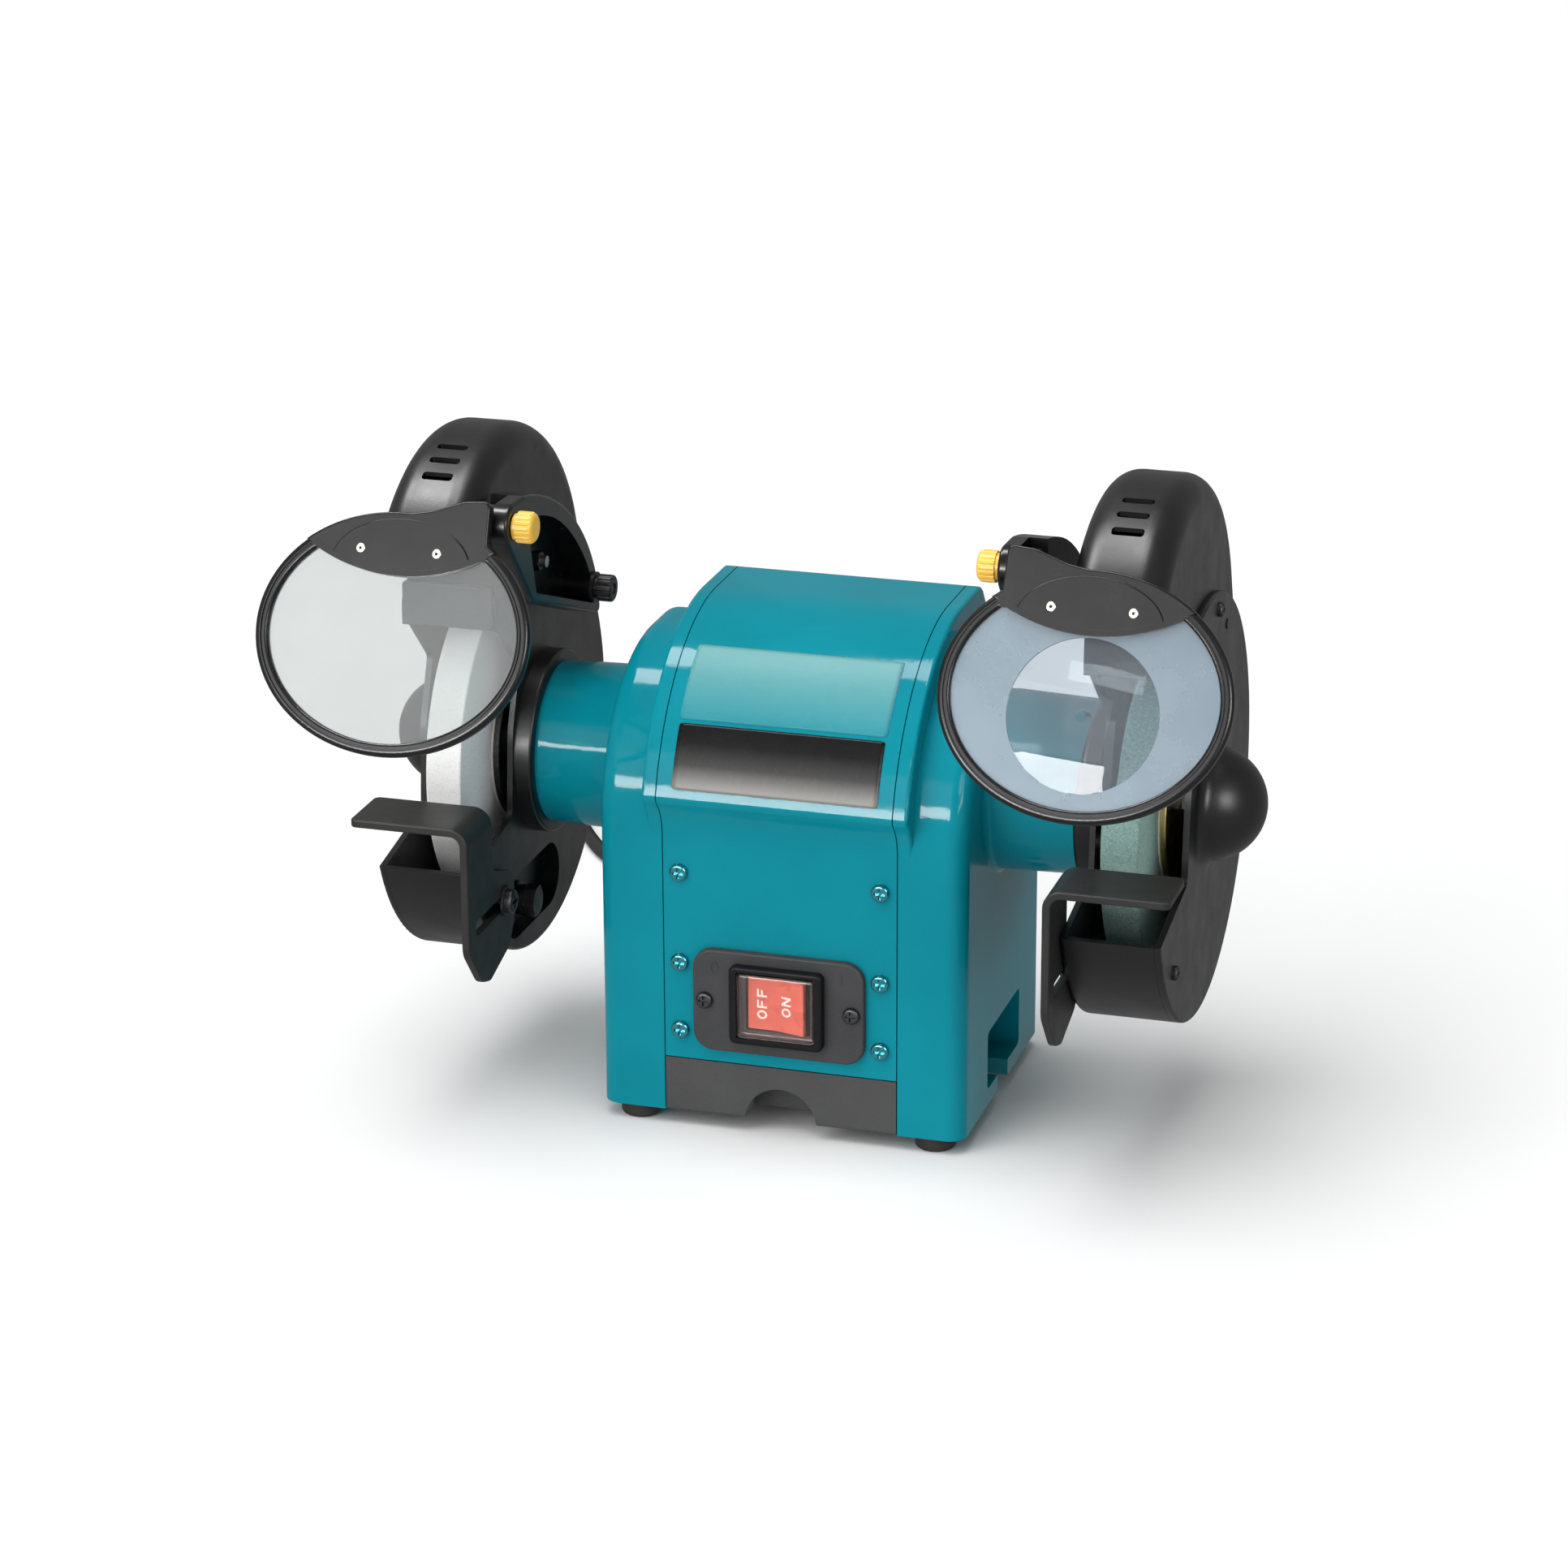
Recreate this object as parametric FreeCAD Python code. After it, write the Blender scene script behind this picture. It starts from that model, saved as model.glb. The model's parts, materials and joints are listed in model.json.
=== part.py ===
import FreeCAD, Part
import math
import os

V = FreeCAD.Vector

os.makedirs("parts", exist_ok=True)

# ---------------------------------------------------------------- driving dimensions (mm)
# Frame: X along the spindle, Y from front to back, Z up, bench at z = 0.
# The model is laid out with the spindle at y = 0 and moved by Y_SHIFT at the end.
Y_SHIFT = 35.765
AXIS_Z = 148.5            # spindle height above the bench

WHEEL_R = 75.0            # 150 mm wheels
WHEEL_W = 16.0
WHEEL_X = 149.5           # centre plane of a wheel
WHEEL_BORE_R = 6.38

BODY_HALF_DEPTH = 68.0    # flat front and back of the motor body
BODY_LOW = 7.0            # underside of the body, on its feet
SEAM_X = 52.1             # seam between the cover and an end housing
STRIP_X = 59.0            # outer edge of the raised strip
SIDE_X = 82.0             # side face of an end housing
# Corners (y, z, radius) of the body above its flat front, front to back: hollow blend, ridge,
# long front arc, flat top, rear corner, back wall.
BARREL = [(-68.0, 143.5, 22.0), (-77.1, 153.5, 3.5), (-57.0, 222.5, 92.4), (46.5, 222.5, 9.0), (68.0, 194.0, 30.0)]
SHOULDER = [(-68.0, 207.5, 72.5), (30.0, 207.5, 20.0), (68.0, 168.0, 25.0)]
TUBE_R0, TUBE_R1 = 37.2, 36.0
TUBE_END_X = 124.5
SHEET = 1.5

GUARD_X0, GUARD_X1 = 129.5, 169.5
GUARD_T = 2.5
DISC_C, DISC_R = (-9.0, 149.5), 92.5
HOOD_C, HOOD_R = (-27.7, 208.8), 89.7
HOOD_ROUND = 11.6
COVER_X0, COVER_X1 = 169.6, 172.4
DOME_X, DOME_R = 172.0, 25.0

PIVOT_Y, PIVOT_Z = -100.0, 277.5
SHIELD_C = (147.3, -133.0, 236.5)
SHIELD_TILT = 66.73       # turn of the shield plane about X, degrees
SHIELD_A, SHIELD_B = 60.5, 51.0
RING_W, RING_T = 5.6, 5.6

REST_Z = 144.0            # top of a tool rest
REST_T = 3.5
REST_Y0, REST_Y1 = -111.0, -80.0

CORD_D = 7.0
GLAND_X, GLAND_Z, GLAND_END_Y = -25.0, 20.0, 103.0
COIL_C = (-180.0, 345.0)
COIL_R = (38.5, 45.5)     # the two columns of turns
COIL_LAYERS = 3
COIL_LOW = 1.2

shapes = {}


# ---------------------------------------------------------------- helpers
def cx(r, x0, x1, y=0.0, z=AXIS_Z):
    return Part.makeCylinder(r, x1 - x0, V(x0, y, z), V(1, 0, 0))


def cy(r, y0, y1, x, z):
    return Part.makeCylinder(r, y1 - y0, V(x, y0, z), V(0, 1, 0))


def cz(r, z0, z1, x, y):
    return Part.makeCylinder(r, z1 - z0, V(x, y, z0), V(0, 0, 1))


def bx(x0, x1, y0, y1, z0, z1):
    return Part.makeBox(x1 - x0, y1 - y0, z1 - z0, V(x0, y0, z0))


def rounded(pts, place):
    """Closed wire through (u, v) or (u, v, r) points with a tangent arc of radius r at each corner."""
    n = len(pts)
    corners = []
    for i in range(n):
        p0, p1, p2 = pts[i - 1], pts[i], pts[(i + 1) % n]
        r = p1[2] if len(p1) > 2 else 0.0
        if r <= 0:
            corners.append(((p1[0], p1[1]), (p1[0], p1[1]), None))
            continue
        a = (p0[0] - p1[0], p0[1] - p1[1])
        b = (p2[0] - p1[0], p2[1] - p1[1])
        la, lb = math.hypot(*a), math.hypot(*b)
        a, b = (a[0] / la, a[1] / la), (b[0] / lb, b[1] / lb)
        ang = math.acos(max(-1.0, min(1.0, a[0] * b[0] + a[1] * b[1])))
        t = r / math.tan(ang / 2)
        bis = (a[0] + b[0], a[1] + b[1])
        lbis = math.hypot(*bis)
        bis = (bis[0] / lbis, bis[1] / lbis)
        d = r / math.sin(ang / 2) - r
        corners.append((
            (p1[0] + a[0] * t, p1[1] + a[1] * t),
            (p1[0] + b[0] * t, p1[1] + b[1] * t),
            (p1[0] + bis[0] * d, p1[1] + bis[1] * d),
        ))
    edges = []
    for i in range(n):
        s, e, m = corners[i]
        if m is not None:
            edges.append(Part.Arc(place(*s), place(*m), place(*e)).toShape())
        nxt = corners[(i + 1) % n][0]
        if math.hypot(nxt[0] - e[0], nxt[1] - e[1]) > 1e-6:
            edges.append(Part.makeLine(place(*e), place(*nxt)))
    return Part.Wire(edges)


def yz(pts, x0, x1):
    return Part.Face(rounded(pts, lambda u, v: V(x0, u, v))).extrude(V(x1 - x0, 0, 0))


def xz(pts, y0, y1):
    return Part.Face(rounded(pts, lambda u, v: V(u, y0, v))).extrude(V(0, y1 - y0, 0))


def xy(pts, z0, z1):
    return Part.Face(rounded(pts, lambda u, v: V(u, v, z0))).extrude(V(0, 0, z1 - z0))


def rect(u0, u1, v0, v1, r=0.0):
    return [(u0, v0, r), (u1, v0, r), (u1, v1, r), (u0, v1, r)]


def spin_x(pts, y=0.0, z=AXIS_Z):
    """Solid of revolution about an axis along X; pts are (x, radius)."""
    w = rounded(pts, lambda u, v: V(u, y, z + v))
    return Part.Face(w).revolve(V(0, y, z), V(1, 0, 0), 360)


def one(s):
    s = s.removeSplitter()
    return s.Solids[0] if len(s.Solids) == 1 else s


def fil(s, r, pick, chamfer=False):
    es = [e for e in s.Edges if pick(e)]
    if not es:
        print("no edges for round", r)
        return s
    try:
        f = s.makeChamfer(r, es) if chamfer else s.makeFillet(r, es)
        if f.isValid() and f.Volume > 0:
            return f.Solids[0] if len(f.Solids) == 1 else f
    except Exception:
        pass
    print("round skipped", r, len(es))
    return s


def on_x(e, x, tol=1e-3):
    b = e.BoundBox
    return abs(b.XMin - x) < tol and abs(b.XMax - x) < tol


def on_y(e, y, tol=1e-3):
    b = e.BoundBox
    return abs(b.YMin - y) < tol and abs(b.YMax - y) < tol


def on_z(e, z, tol=1e-3):
    b = e.BoundBox
    return abs(b.ZMin - z) < tol and abs(b.ZMax - z) < tol


def mirrored(s):
    return s.mirror(V(0, 0, 0), V(1, 0, 0))


def both(name, s):
    shapes["right_" + name] = s
    shapes["left_" + name] = mirrored(s)


def pair(name, solids):
    shapes[name] = Part.makeCompound(list(solids) + [mirrored(s) for s in solids])


def hexagon_x(af, x0, x1, y, z):
    r = af / math.sqrt(3)
    pts = [(y + r * math.cos(math.radians(60 * k)), z + r * math.sin(math.radians(60 * k))) for k in range(6)]
    h = yz(pts, x0, x1)
    cap = spin_x([(x0, 0), (x1, 0), (x1, af / 2 - 0.1), (x1 - 0.8, r + 0.4), (x0 + 0.8, r + 0.4), (x0, af / 2 - 0.1)], y, z)
    return h.common(cap)


def pan_screw_y(x, z, y_face, head_r, head_h, shank_r, length, sign):
    """Pan head screw with a cross recess; sign -1 puts the head on the -Y side of y_face."""
    head = Part.makeCylinder(head_r, head_h, V(x, y_face, z), V(0, sign, 0))
    head = fil(head, head_h * 0.55, lambda e: on_y(e, y_face + sign * head_h))
    shank = Part.makeCylinder(shank_r, length, V(x, y_face, z), V(0, -sign, 0))
    s = head.fuse(shank)
    a, b = head_r * 0.62, head_r * 0.14
    y_out = y_face + sign * head_h
    y_in = y_face + sign * head_h * 0.45
    y0, y1 = min(y_out + sign, y_in), max(y_out + sign, y_in)
    cross = bx(x - a, x + a, y0, y1, z - b, z + b).fuse(bx(x - b, x + b, y0, y1, z - a, z + a))
    return one(s.cut(cross))


# ---------------------------------------------------------------- body outline
def inset(corners, d, low):
    """Closed outline through the corners, front to back, moved inwards by d and cut off flat at z = low."""
    pts = [(-BODY_HALF_DEPTH, 0.0)] + [c[:2] for c in corners] + [(BODY_HALF_DEPTH, 0.0)]
    lines = []
    for (ay, az), (by, bz) in zip(pts[:-1], pts[1:]):
        n = math.hypot(by - ay, bz - az)
        ty, tz = (by - ay) / n, (bz - az) / n
        lines.append((ay + tz * d, az - ty * d, ty, tz))
    out = [(-BODY_HALF_DEPTH + d, low)]
    for (ay, az, ty, tz), (by, bz, sy, sz), c in zip(lines[:-1], lines[1:], corners):
        cross = ty * sz - tz * sy
        k = ((by - ay) * sz - (bz - az) * sy) / cross
        r = max(c[2] - 1.3 * d, 0.5) if cross < 0 else c[2] + d
        out.append((ay + ty * k, az + tz * k, r))
    return out + [(BODY_HALF_DEPTH - d, low)]


def body(d, low, x0, x1):
    return yz(inset(BARREL, d, low), x0, x1)


def tombstone(d, low, x0, x1):
    return yz(inset(SHOULDER, d, low), x0, x1)


# ---------------------------------------------------------------- end housings
SCREW_X = 45.0
SCREW_Z = (118.6, 77.2, 45.8)
FOOT_X, FOOT_Y = 67.0, 57.0
STATOR_R = 62.0
TIE_R, TIE_PITCH = 2.5, 54.0
CAST_IN = SEAM_X + 0.5

tomb = tombstone(0, BODY_LOW, CAST_IN, SIDE_X)
tomb = fil(tomb, 8.0, lambda e: on_x(e, SIDE_X) and not on_z(e, BODY_LOW))
strip = body(0, BODY_LOW, CAST_IN, STRIP_X)
strip = fil(strip, 1.6, lambda e: on_x(e, STRIP_X) and e.BoundBox.ZMin > 152)
cast = one(strip.fuse(tomb))
tube = Part.makeCone(TUBE_R0, TUBE_R1, TUBE_END_X - SIDE_X + 4, V(SIDE_X - 4, 0, AXIS_Z), V(1, 0, 0))
cast = one(cast.fuse(tube))
cast = fil(cast, 3.0, lambda e: on_x(e, SIDE_X, 0.05) and abs(e.BoundBox.ZMax - e.BoundBox.ZMin - 2 * TUBE_R0) < 1.5)
cast = fil(cast, 1.0, lambda e: on_x(e, TUBE_END_X))
# motor cavity, bearing seat and spindle hole
cavity = tombstone(4.5, BODY_LOW + 4.5, CAST_IN - 1, SIDE_X - 4.5).fuse(body(4.5, BODY_LOW + 4.5, CAST_IN - 1, STRIP_X - 4.5))
cast = cast.cut(cavity)
cast = cast.cut(cx(30.0, 70.0, 97.0)).cut(cx(20.0, 96.0, 112.0)).cut(cx(14.0, 111.0, 126.0))
# lip under the cover and seat ring around the stator
lip = body(SHEET + 0.2, 33.0, 38.0, CAST_IN + 1.5).cut(body(SHEET + 4.4, 20.0, 37.0, CAST_IN + 4.0))
seat = cx(STATOR_R + 2.6, 18.0, STRIP_X - 3.0).cut(cx(STATOR_R + 0.1, 17.0, STRIP_X + 1.0))
cast = one(cast.fuse([lip, seat]))
# pocket over the bench bolt, with an open slot in its floor
block = bx(CAST_IN, SIDE_X - 3, -30, 34, BODY_LOW + 1, 46)
cast = cast.fuse(block)
cast = cast.cut(yz(rect(-26, 30, 14.5, 41.5, 3.0), CAST_IN + 1.8, SIDE_X + 1))
cast = cast.cut(bx(66, SIDE_X + 1, -8, 10, 5, 16)).cut(cz(9.0, 5, 16, 66, 1.0))
for fy in (-FOOT_Y, FOOT_Y):
    cast = cast.fuse(cz(6.5, BODY_LOW, 26, FOOT_X, fy))
for fy in (-FOOT_Y, FOOT_Y):
    cast = cast.cut(cz(2.45, BODY_LOW - 1, 22, FOOT_X, fy))
for z in SCREW_Z:
    for sgn in (-1, 1):
        cast = cast.cut(cy(2.05, min(sgn * 56, sgn * 72), max(sgn * 56, sgn * 72), SCREW_X, z))
for k in range(4):
    a = math.radians(45 + 90 * k)
    cast = cast.cut(cx(TIE_R + 0.05, 50, 80, TIE_PITCH * math.cos(a), AXIS_Z + TIE_PITCH * math.sin(a)))
# holes for the guard bolts in the end of the arm
GUARD_BOLTS = [(27.0 * math.cos(math.radians(a)), AXIS_Z + 27.0 * math.sin(math.radians(a))) for a in (90, 210, 330)]
for y, z in GUARD_BOLTS:
    cast = cast.cut(cx(2.55, 113.0, 126.0, y, z))
cast = one(cast)
both("end_housing", cast)

# ---------------------------------------------------------------- motor cover, base plate, feet
cover = body(0, 32.5, -SEAM_X, SEAM_X).cut(body(SHEET, 20.0, -SEAM_X - 1, SEAM_X + 1))
cover = cover.cut(bx(-18.0, 18.0, -72, -60, 47.2, 78.4))
for sx in (-1, 1):
    for z in SCREW_Z:
        for sgn in (-1, 1):
            cover = cover.cut(cy(2.2, min(sgn * 60, sgn * 72), max(sgn * 60, sgn * 72), sx * SCREW_X, z))
    cover = cover.cut(cy(2.0, -72, -60, sx * 33.0, 62.0))
shapes["motor_cover"] = one(cover)

base = bx(-SEAM_X, SEAM_X, -BODY_HALF_DEPTH, BODY_HALF_DEPTH, BODY_LOW, 32.0)
base = fil(base, 1.2, lambda e: on_z(e, BODY_LOW) and (on_y(e, -BODY_HALF_DEPTH) or on_y(e, BODY_HALF_DEPTH)))
base = base.cut(bx(-SEAM_X - 1, SEAM_X + 1, -BODY_HALF_DEPTH + 2.5, BODY_HALF_DEPTH - 2.5, BODY_LOW + 2.5, 40))
# half-round recess in the front edge, closed at its back
recess = cy(18.4, -66.5, -49.8, 0, BODY_LOW - 1.0).common(bx(-30, 30, -80, 0, BODY_LOW, 40))
base = base.fuse(recess).cut(cy(16.2, -70, -52, 0, BODY_LOW - 1.0))
base = base.cut(cy(7.2, 60, 70, GLAND_X, GLAND_Z))
shapes["base_plate"] = one(base)

feet, foot_screws = [], []
for sx in (-1, 1):
    for sy in (-1, 1):
        f = cz(9.0, 0, BODY_LOW, sx * FOOT_X, sy * FOOT_Y)
        f = fil(f, 1.6, lambda e: on_z(e, 0))
        f = f.cut(cz(5.2, -1, 3.0, sx * FOOT_X, sy * FOOT_Y)).cut(cz(2.6, 2, 8, sx * FOOT_X, sy * FOOT_Y))
        feet.append(one(f))
        foot_screws.append(one(cz(4.6, 0.8, 3.0, sx * FOOT_X, sy * FOOT_Y).fuse(cz(2.4, 3.0, 20.0, sx * FOOT_X, sy * FOOT_Y))))
shapes["rubber_feet"] = Part.makeCompound(feet)
shapes["foot_screws"] = Part.makeCompound(foot_screws)

screws = []
for sx in (-1, 1):
    for z in SCREW_Z:
        for sgn in (-1, 1):
            screws.append(pan_screw_y(sx * SCREW_X, z, sgn * BODY_HALF_DEPTH, 4.0, 2.4, 2.0, 7.0, sgn))
shapes["cover_screws"] = Part.makeCompound(screws)

# ---------------------------------------------------------------- switch
SW_Z = 62.75
SW_FACE = -71.0
ROCKER_PIVOT_Y = -66.0
ROCKER_SWING = 8.0        # degrees to each side of the middle

plate = xz(rect(-38.5, 38.5, 38.5, 85.5, 9.0), SW_FACE, -BODY_HALF_DEPTH)
plate = fil(plate, 1.1, lambda e: on_y(e, SW_FACE))
bezel = xz(rect(-21.0, 21.0, 44.5, 80.5, 3.0), SW_FACE - 4.5, -BODY_HALF_DEPTH)
bezel = fil(bezel, 1.4, lambda e: on_y(e, SW_FACE - 4.5))
plate = plate.fuse(bezel).cut(xz(rect(-17.6, 17.6, SW_Z - 15.3, SW_Z + 15.3, 0.4), -80, -60))
for sx in (-1, 1):
    plate = plate.cut(cy(2.0, -80, -60, sx * 33.0, 62.0))
shapes["switch_plate"] = one(plate)
shapes["switch_plate_screws"] = Part.makeCompound([
    pan_screw_y(sx * 33.0, 62.0, SW_FACE, 3.7, 2.2, 1.8, 9.0, -1) for sx in (-1, 1)
])

sw = bx(-17.2, 17.2, -70.5, -40.0, SW_Z - 14.95, SW_Z + 14.95)
sw = sw.cut(bx(-14.4, 14.4, -71, -60.0, SW_Z - 12.5, SW_Z + 12.5))
sw = sw.cut(cz(1.56, SW_Z - 14.2, SW_Z + 14.2, 0, ROCKER_PIVOT_Y))
for tx in (-8, 8):
    sw = sw.fuse(bx(tx - 3, tx + 3, -40, -31, SW_Z - 0.4, SW_Z + 0.4))
shapes["switch_body"] = one(sw)

rocker = xy([(-13.2, -71.8, 0.6), (0, -70.3, 20.0), (13.2, -71.8, 0.6), (13.2, -69.2), (4, -63.2), (-4, -63.2), (-13.2, -69.2)], SW_Z - 12.0, SW_Z + 12.0)
rocker = rocker.fuse(cz(1.5, SW_Z - 14.0, SW_Z + 14.0, 0, ROCKER_PIVOT_Y))
rocker = one(rocker)
rocker.rotate(V(0, ROCKER_PIVOT_Y, SW_Z), V(0, 0, 1), -ROCKER_SWING)
shapes["switch_rocker"] = rocker

boot = bx(-17.3, 17.3, -76.2, -70.6, SW_Z - 15.05, SW_Z + 15.05)
boot = fil(boot, 1.8, lambda e: not on_y(e, -70.6))
boot = boot.cut(fil(bx(-16.5, 16.5, -75.4, -69.0, SW_Z - 14.2, SW_Z + 14.2), 1.0, lambda e: not on_y(e, -69.0)))
shapes["switch_boot"] = one(boot)

# ---------------------------------------------------------------- motor inside
STACK = 24.0
stator = cx(STATOR_R, -STACK, STACK).cut(cx(33.5, -STACK - 1, STACK + 1))
windings = []
for x0, x1 in ((-STACK - 15, -STACK - 1), (STACK + 1, STACK + 15)):
    w = cx(50.5, x0, x1).cut(cx(37.0, x0 - 1, x1 + 1))
    windings.append(fil(w, 4.0, lambda e: on_x(e, x0) or on_x(e, x1)))
ties = []
for k in range(4):
    a = math.radians(45 + 90 * k)
    y, z = TIE_PITCH * math.cos(a), AXIS_Z + TIE_PITCH * math.sin(a)
    stator = stator.cut(cx(TIE_R + 0.1, -40, 40, y, z))
    ties.append(cx(TIE_R, -79.5, 79.5, y, z))
shapes["stator_core"] = one(stator)
shapes["stator_windings"] = Part.makeCompound(windings)
shapes["tie_bolts"] = Part.makeCompound(ties)
cap = cx(17.0, -32, 30, 28.0, 27.5)
cap = fil(cap, 2.0, lambda e: on_x(e, -32) or on_x(e, 30))
for t in (-5, 5):
    cap = cap.fuse(bx(29.5, 38, 28.0 + t - 3, 28.0 + t + 3, 27.1, 27.9))
shapes["run_capacitor"] = one(cap)

# ball bearings: 17 mm bore, 40 mm outside, 12 mm wide
BRG = (99.5, 111.5)
mid = sum(BRG) / 2
outer_race = Part.makeTorus(14.25, 3.95, V(mid, 0, AXIS_Z), V(1, 0, 0))
inner_race = Part.makeTorus(14.25, 3.62, V(mid, 0, AXIS_Z), V(1, 0, 0))
outer_ring = cx(19.98, *BRG).cut(cx(15.7, BRG[0] - 1, BRG[1] + 1)).cut(outer_race)
inner_ring = cx(12.8, *BRG).cut(cx(8.52, BRG[0] - 1, BRG[1] + 1)).cut(inner_race)
balls = []
for k in range(8):
    a = math.radians(45 * k)
    balls.append(Part.makeSphere(3.6, V(mid, 14.25 * math.cos(a), AXIS_Z + 14.25 * math.sin(a))))
pair("bearing_outer_rings", [one(outer_ring)])
pair("bearing_inner_sets", [one(inner_ring)] + balls)

# ---------------------------------------------------------------- spindle and wheels
FLANGE_R = 35.5
shaft = spin_x([
    (-174, 0), (174, 0), (174, 5.4), (173, 6.35), (137, 6.35), (137, 8.5), (99.3, 8.5), (99.3, 11.5),
    (-99.3, 11.5), (-99.3, 8.5), (-137, 8.5), (-137, 6.35), (-173, 6.35), (-174, 5.4),
])
shapes["motor_shaft"] = one(shaft)
shapes["rotor_core"] = one(cx(33.0, -STACK - 1, STACK + 1).cut(cx(11.52, -40, 40)))

wx0, wx1 = WHEEL_X - WHEEL_W / 2, WHEEL_X + WHEEL_W / 2
wheel = cx(WHEEL_R, wx0, wx1).cut(cx(WHEEL_BORE_R, wx0 - 1, wx1 + 1))
wheel = fil(wheel, 0.9, lambda e: (on_x(e, wx0) or on_x(e, wx1)) and e.BoundBox.ZMax > AXIS_Z + 50)
both("wheel", wheel)
blotter_t = 0.5
pair("wheel_blotters", [
    cx(FLANGE_R + 0.9, wx0 - blotter_t, wx0).cut(cx(6.6, wx0 - 2, wx0 + 1)),
    cx(FLANGE_R + 0.9, wx1, wx1 + blotter_t).cut(cx(6.6, wx1 - 1, wx1 + 2)),
])
fi0, fi1 = 137.02, wx0 - blotter_t
inner_flange = spin_x([(fi0, 6.4), (fi1, 6.4), (fi1, FLANGE_R), (fi1 - 2.6, FLANGE_R, 0.6), (fi0, 16.0), (fi0, 16.0 - 4)])
fo0 = wx1 + blotter_t
outer_flange = spin_x([(fo0, 6.4), (fo0, FLANGE_R, 0.3), (fo0 + 2.8, FLANGE_R, 0.9), (fo0 + 3.6, 18.0, 2.0), (fo0 + 3.6, 6.4)])
pair("inner_flanges", [one(inner_flange)])
pair("outer_flanges", [one(outer_flange)])
nx0 = fo0 + 3.6
nut = hexagon_x(19.0, nx0, nx0 + 7.5, 0, AXIS_Z).cut(cx(6.4, nx0 - 1, nx0 + 10))
pair("spindle_nuts", [one(nut)])


# ---------------------------------------------------------------- wheel guard
def hull_wire(d, x):
    """Outline round the disc and the hood circle, moved inwards by d, with straight tangents."""
    r1, r2 = DISC_R - d, HOOD_R - d
    (y1, z1), (y2, z2) = DISC_C, HOOD_C
    dy, dz = y1 - y2, z1 - z2
    length = math.hypot(dy, dz)
    base_ang = math.atan2(dz, dy)
    off = math.acos((r2 - r1) / length)
    p = lambda c, r, a: V(x, c[0] + r * math.cos(a), c[1] + r * math.sin(a))
    front, rear = base_ang - off, base_ang + off
    # 'rear' is the tangent on the +Y side
    mid_hood = base_ang + math.pi
    mid_disc = base_ang
    return Part.Wire([
        Part.Arc(p(HOOD_C, r2, front), p(HOOD_C, r2, mid_hood), p(HOOD_C, r2, rear)).toShape(),
        Part.makeLine(p(HOOD_C, r2, rear), p(DISC_C, r1, rear)),
        Part.Arc(p(DISC_C, r1, rear), p(DISC_C, r1, mid_disc), p(DISC_C, r1, front)).toShape(),
        Part.makeLine(p(DISC_C, r1, front), p(HOOD_C, r2, front)),
    ])


def hull(d, x0, x1):
    return Part.Face(hull_wire(d, x0)).extrude(V(x1 - x0, 0, 0))


HOOD_LIP_Z = 258.0
OPENING = [(-190, HOOD_LIP_Z), (-100, HOOD_LIP_Z), (-66, 250, 4), (-58, 250), (-58, 216), (-52, 215, 2), (-30, 193, 3), (-41, 165, 40), (-44, 127, 4), (-98, 117), (-190, 117)]
COVER_SCREWS = [(8.5, 232.5), (-66.5, 95.7)]
REST_BOLT = (-66.0, 96.0)
POCKET_BOLT = (-22.0, 79.5)
ARM_BOLTS = [(-2.0, 222.0), (-46.0, 246.0)]

hood = hull(0, GUARD_X0, GUARD_X1)
hood = fil(hood, HOOD_ROUND, lambda e: on_x(e, GUARD_X0) or on_x(e, GUARD_X1))
disc = cx(DISC_R, GUARD_X0, GUARD_X1, *DISC_C)
disc = fil(disc, 2.0, lambda e: on_x(e, GUARD_X0))
guard = hood.fuse(disc)
inner = hull(GUARD_T, GUARD_X0 + GUARD_T, GUARD_X1 - GUARD_T)
inner = fil(inner, HOOD_ROUND - GUARD_T, lambda e: on_x(e, GUARD_X0 + GUARD_T) or on_x(e, GUARD_X1 - GUARD_T))
inner = inner.fuse(cx(DISC_R - GUARD_T, GUARD_X0 + GUARD_T, GUARD_X1 + 1, *DISC_C))
guard = one(guard.cut(inner))
# collar that holds the end of the arm, and the cross wall behind the spark arrestor
collar = cx(41.0, 121.5, GUARD_X0 + GUARD_T)
collar = fil(collar, 1.5, lambda e: on_x(e, 121.5))
guard = guard.fuse(collar)
guard = guard.fuse(bx(GUARD_X0 + 1.5, GUARD_X1 - 1.5, -58.0, -55.5, 216.4, 252).common(hull(1.0, GUARD_X0, GUARD_X1)))
# oblong pocket pressed into the inner wall
pocket = lambda g, x0, x1: yz(rect(-55 - g, 15 + g, 69 - g, 98 + g, 14.4 + g), x0, x1)
guard = guard.fuse(pocket(2.0, GUARD_X0 + 1, 139.3).common(cx(DISC_R - 1, 100, 200, *DISC_C)))
for y, z in COVER_SCREWS:
    guard = guard.fuse(cx(5.2 if z < AXIS_Z else 4.5, GUARD_X0 + 1.5, GUARD_X1, y, z).common(hull(1.0, GUARD_X0, GUARD_X1 + 1)))
guard = guard.cut(yz(OPENING, GUARD_X0 - 2, GUARD_X1 + 5))
guard = guard.cut(pocket(0.0, GUARD_X0 - 1, 137.3))
guard = guard.cut(cx(TUBE_R1 + 0.15, 121.0, TUBE_END_X + 0.1)).cut(cx(13.0, 120, 135))
for y, z in GUARD_BOLTS:
    guard = guard.cut(cx(2.6, 120, 135, y, z))
for y, z in COVER_SCREWS:
    guard = guard.cut(cx(1.55, 150, 172, y, z))
guard = guard.cut(cx(2.95, 120, 145, *REST_BOLT)).cut(cx(3.05, 136, 141, *POCKET_BOLT))
for y, z in ARM_BOLTS:
    guard = guard.cut(cx(2.6, 120, 135, y, z))
# slot for the stud of the spark arrestor
ARR_Z, ARR_X = 227.0, 150.5
guard = guard.cut(xz(rect(ARR_X - 2.8, ARR_X + 2.8, ARR_Z - 7.2, ARR_Z + 7.2, 2.75), -60, -53))
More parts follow.
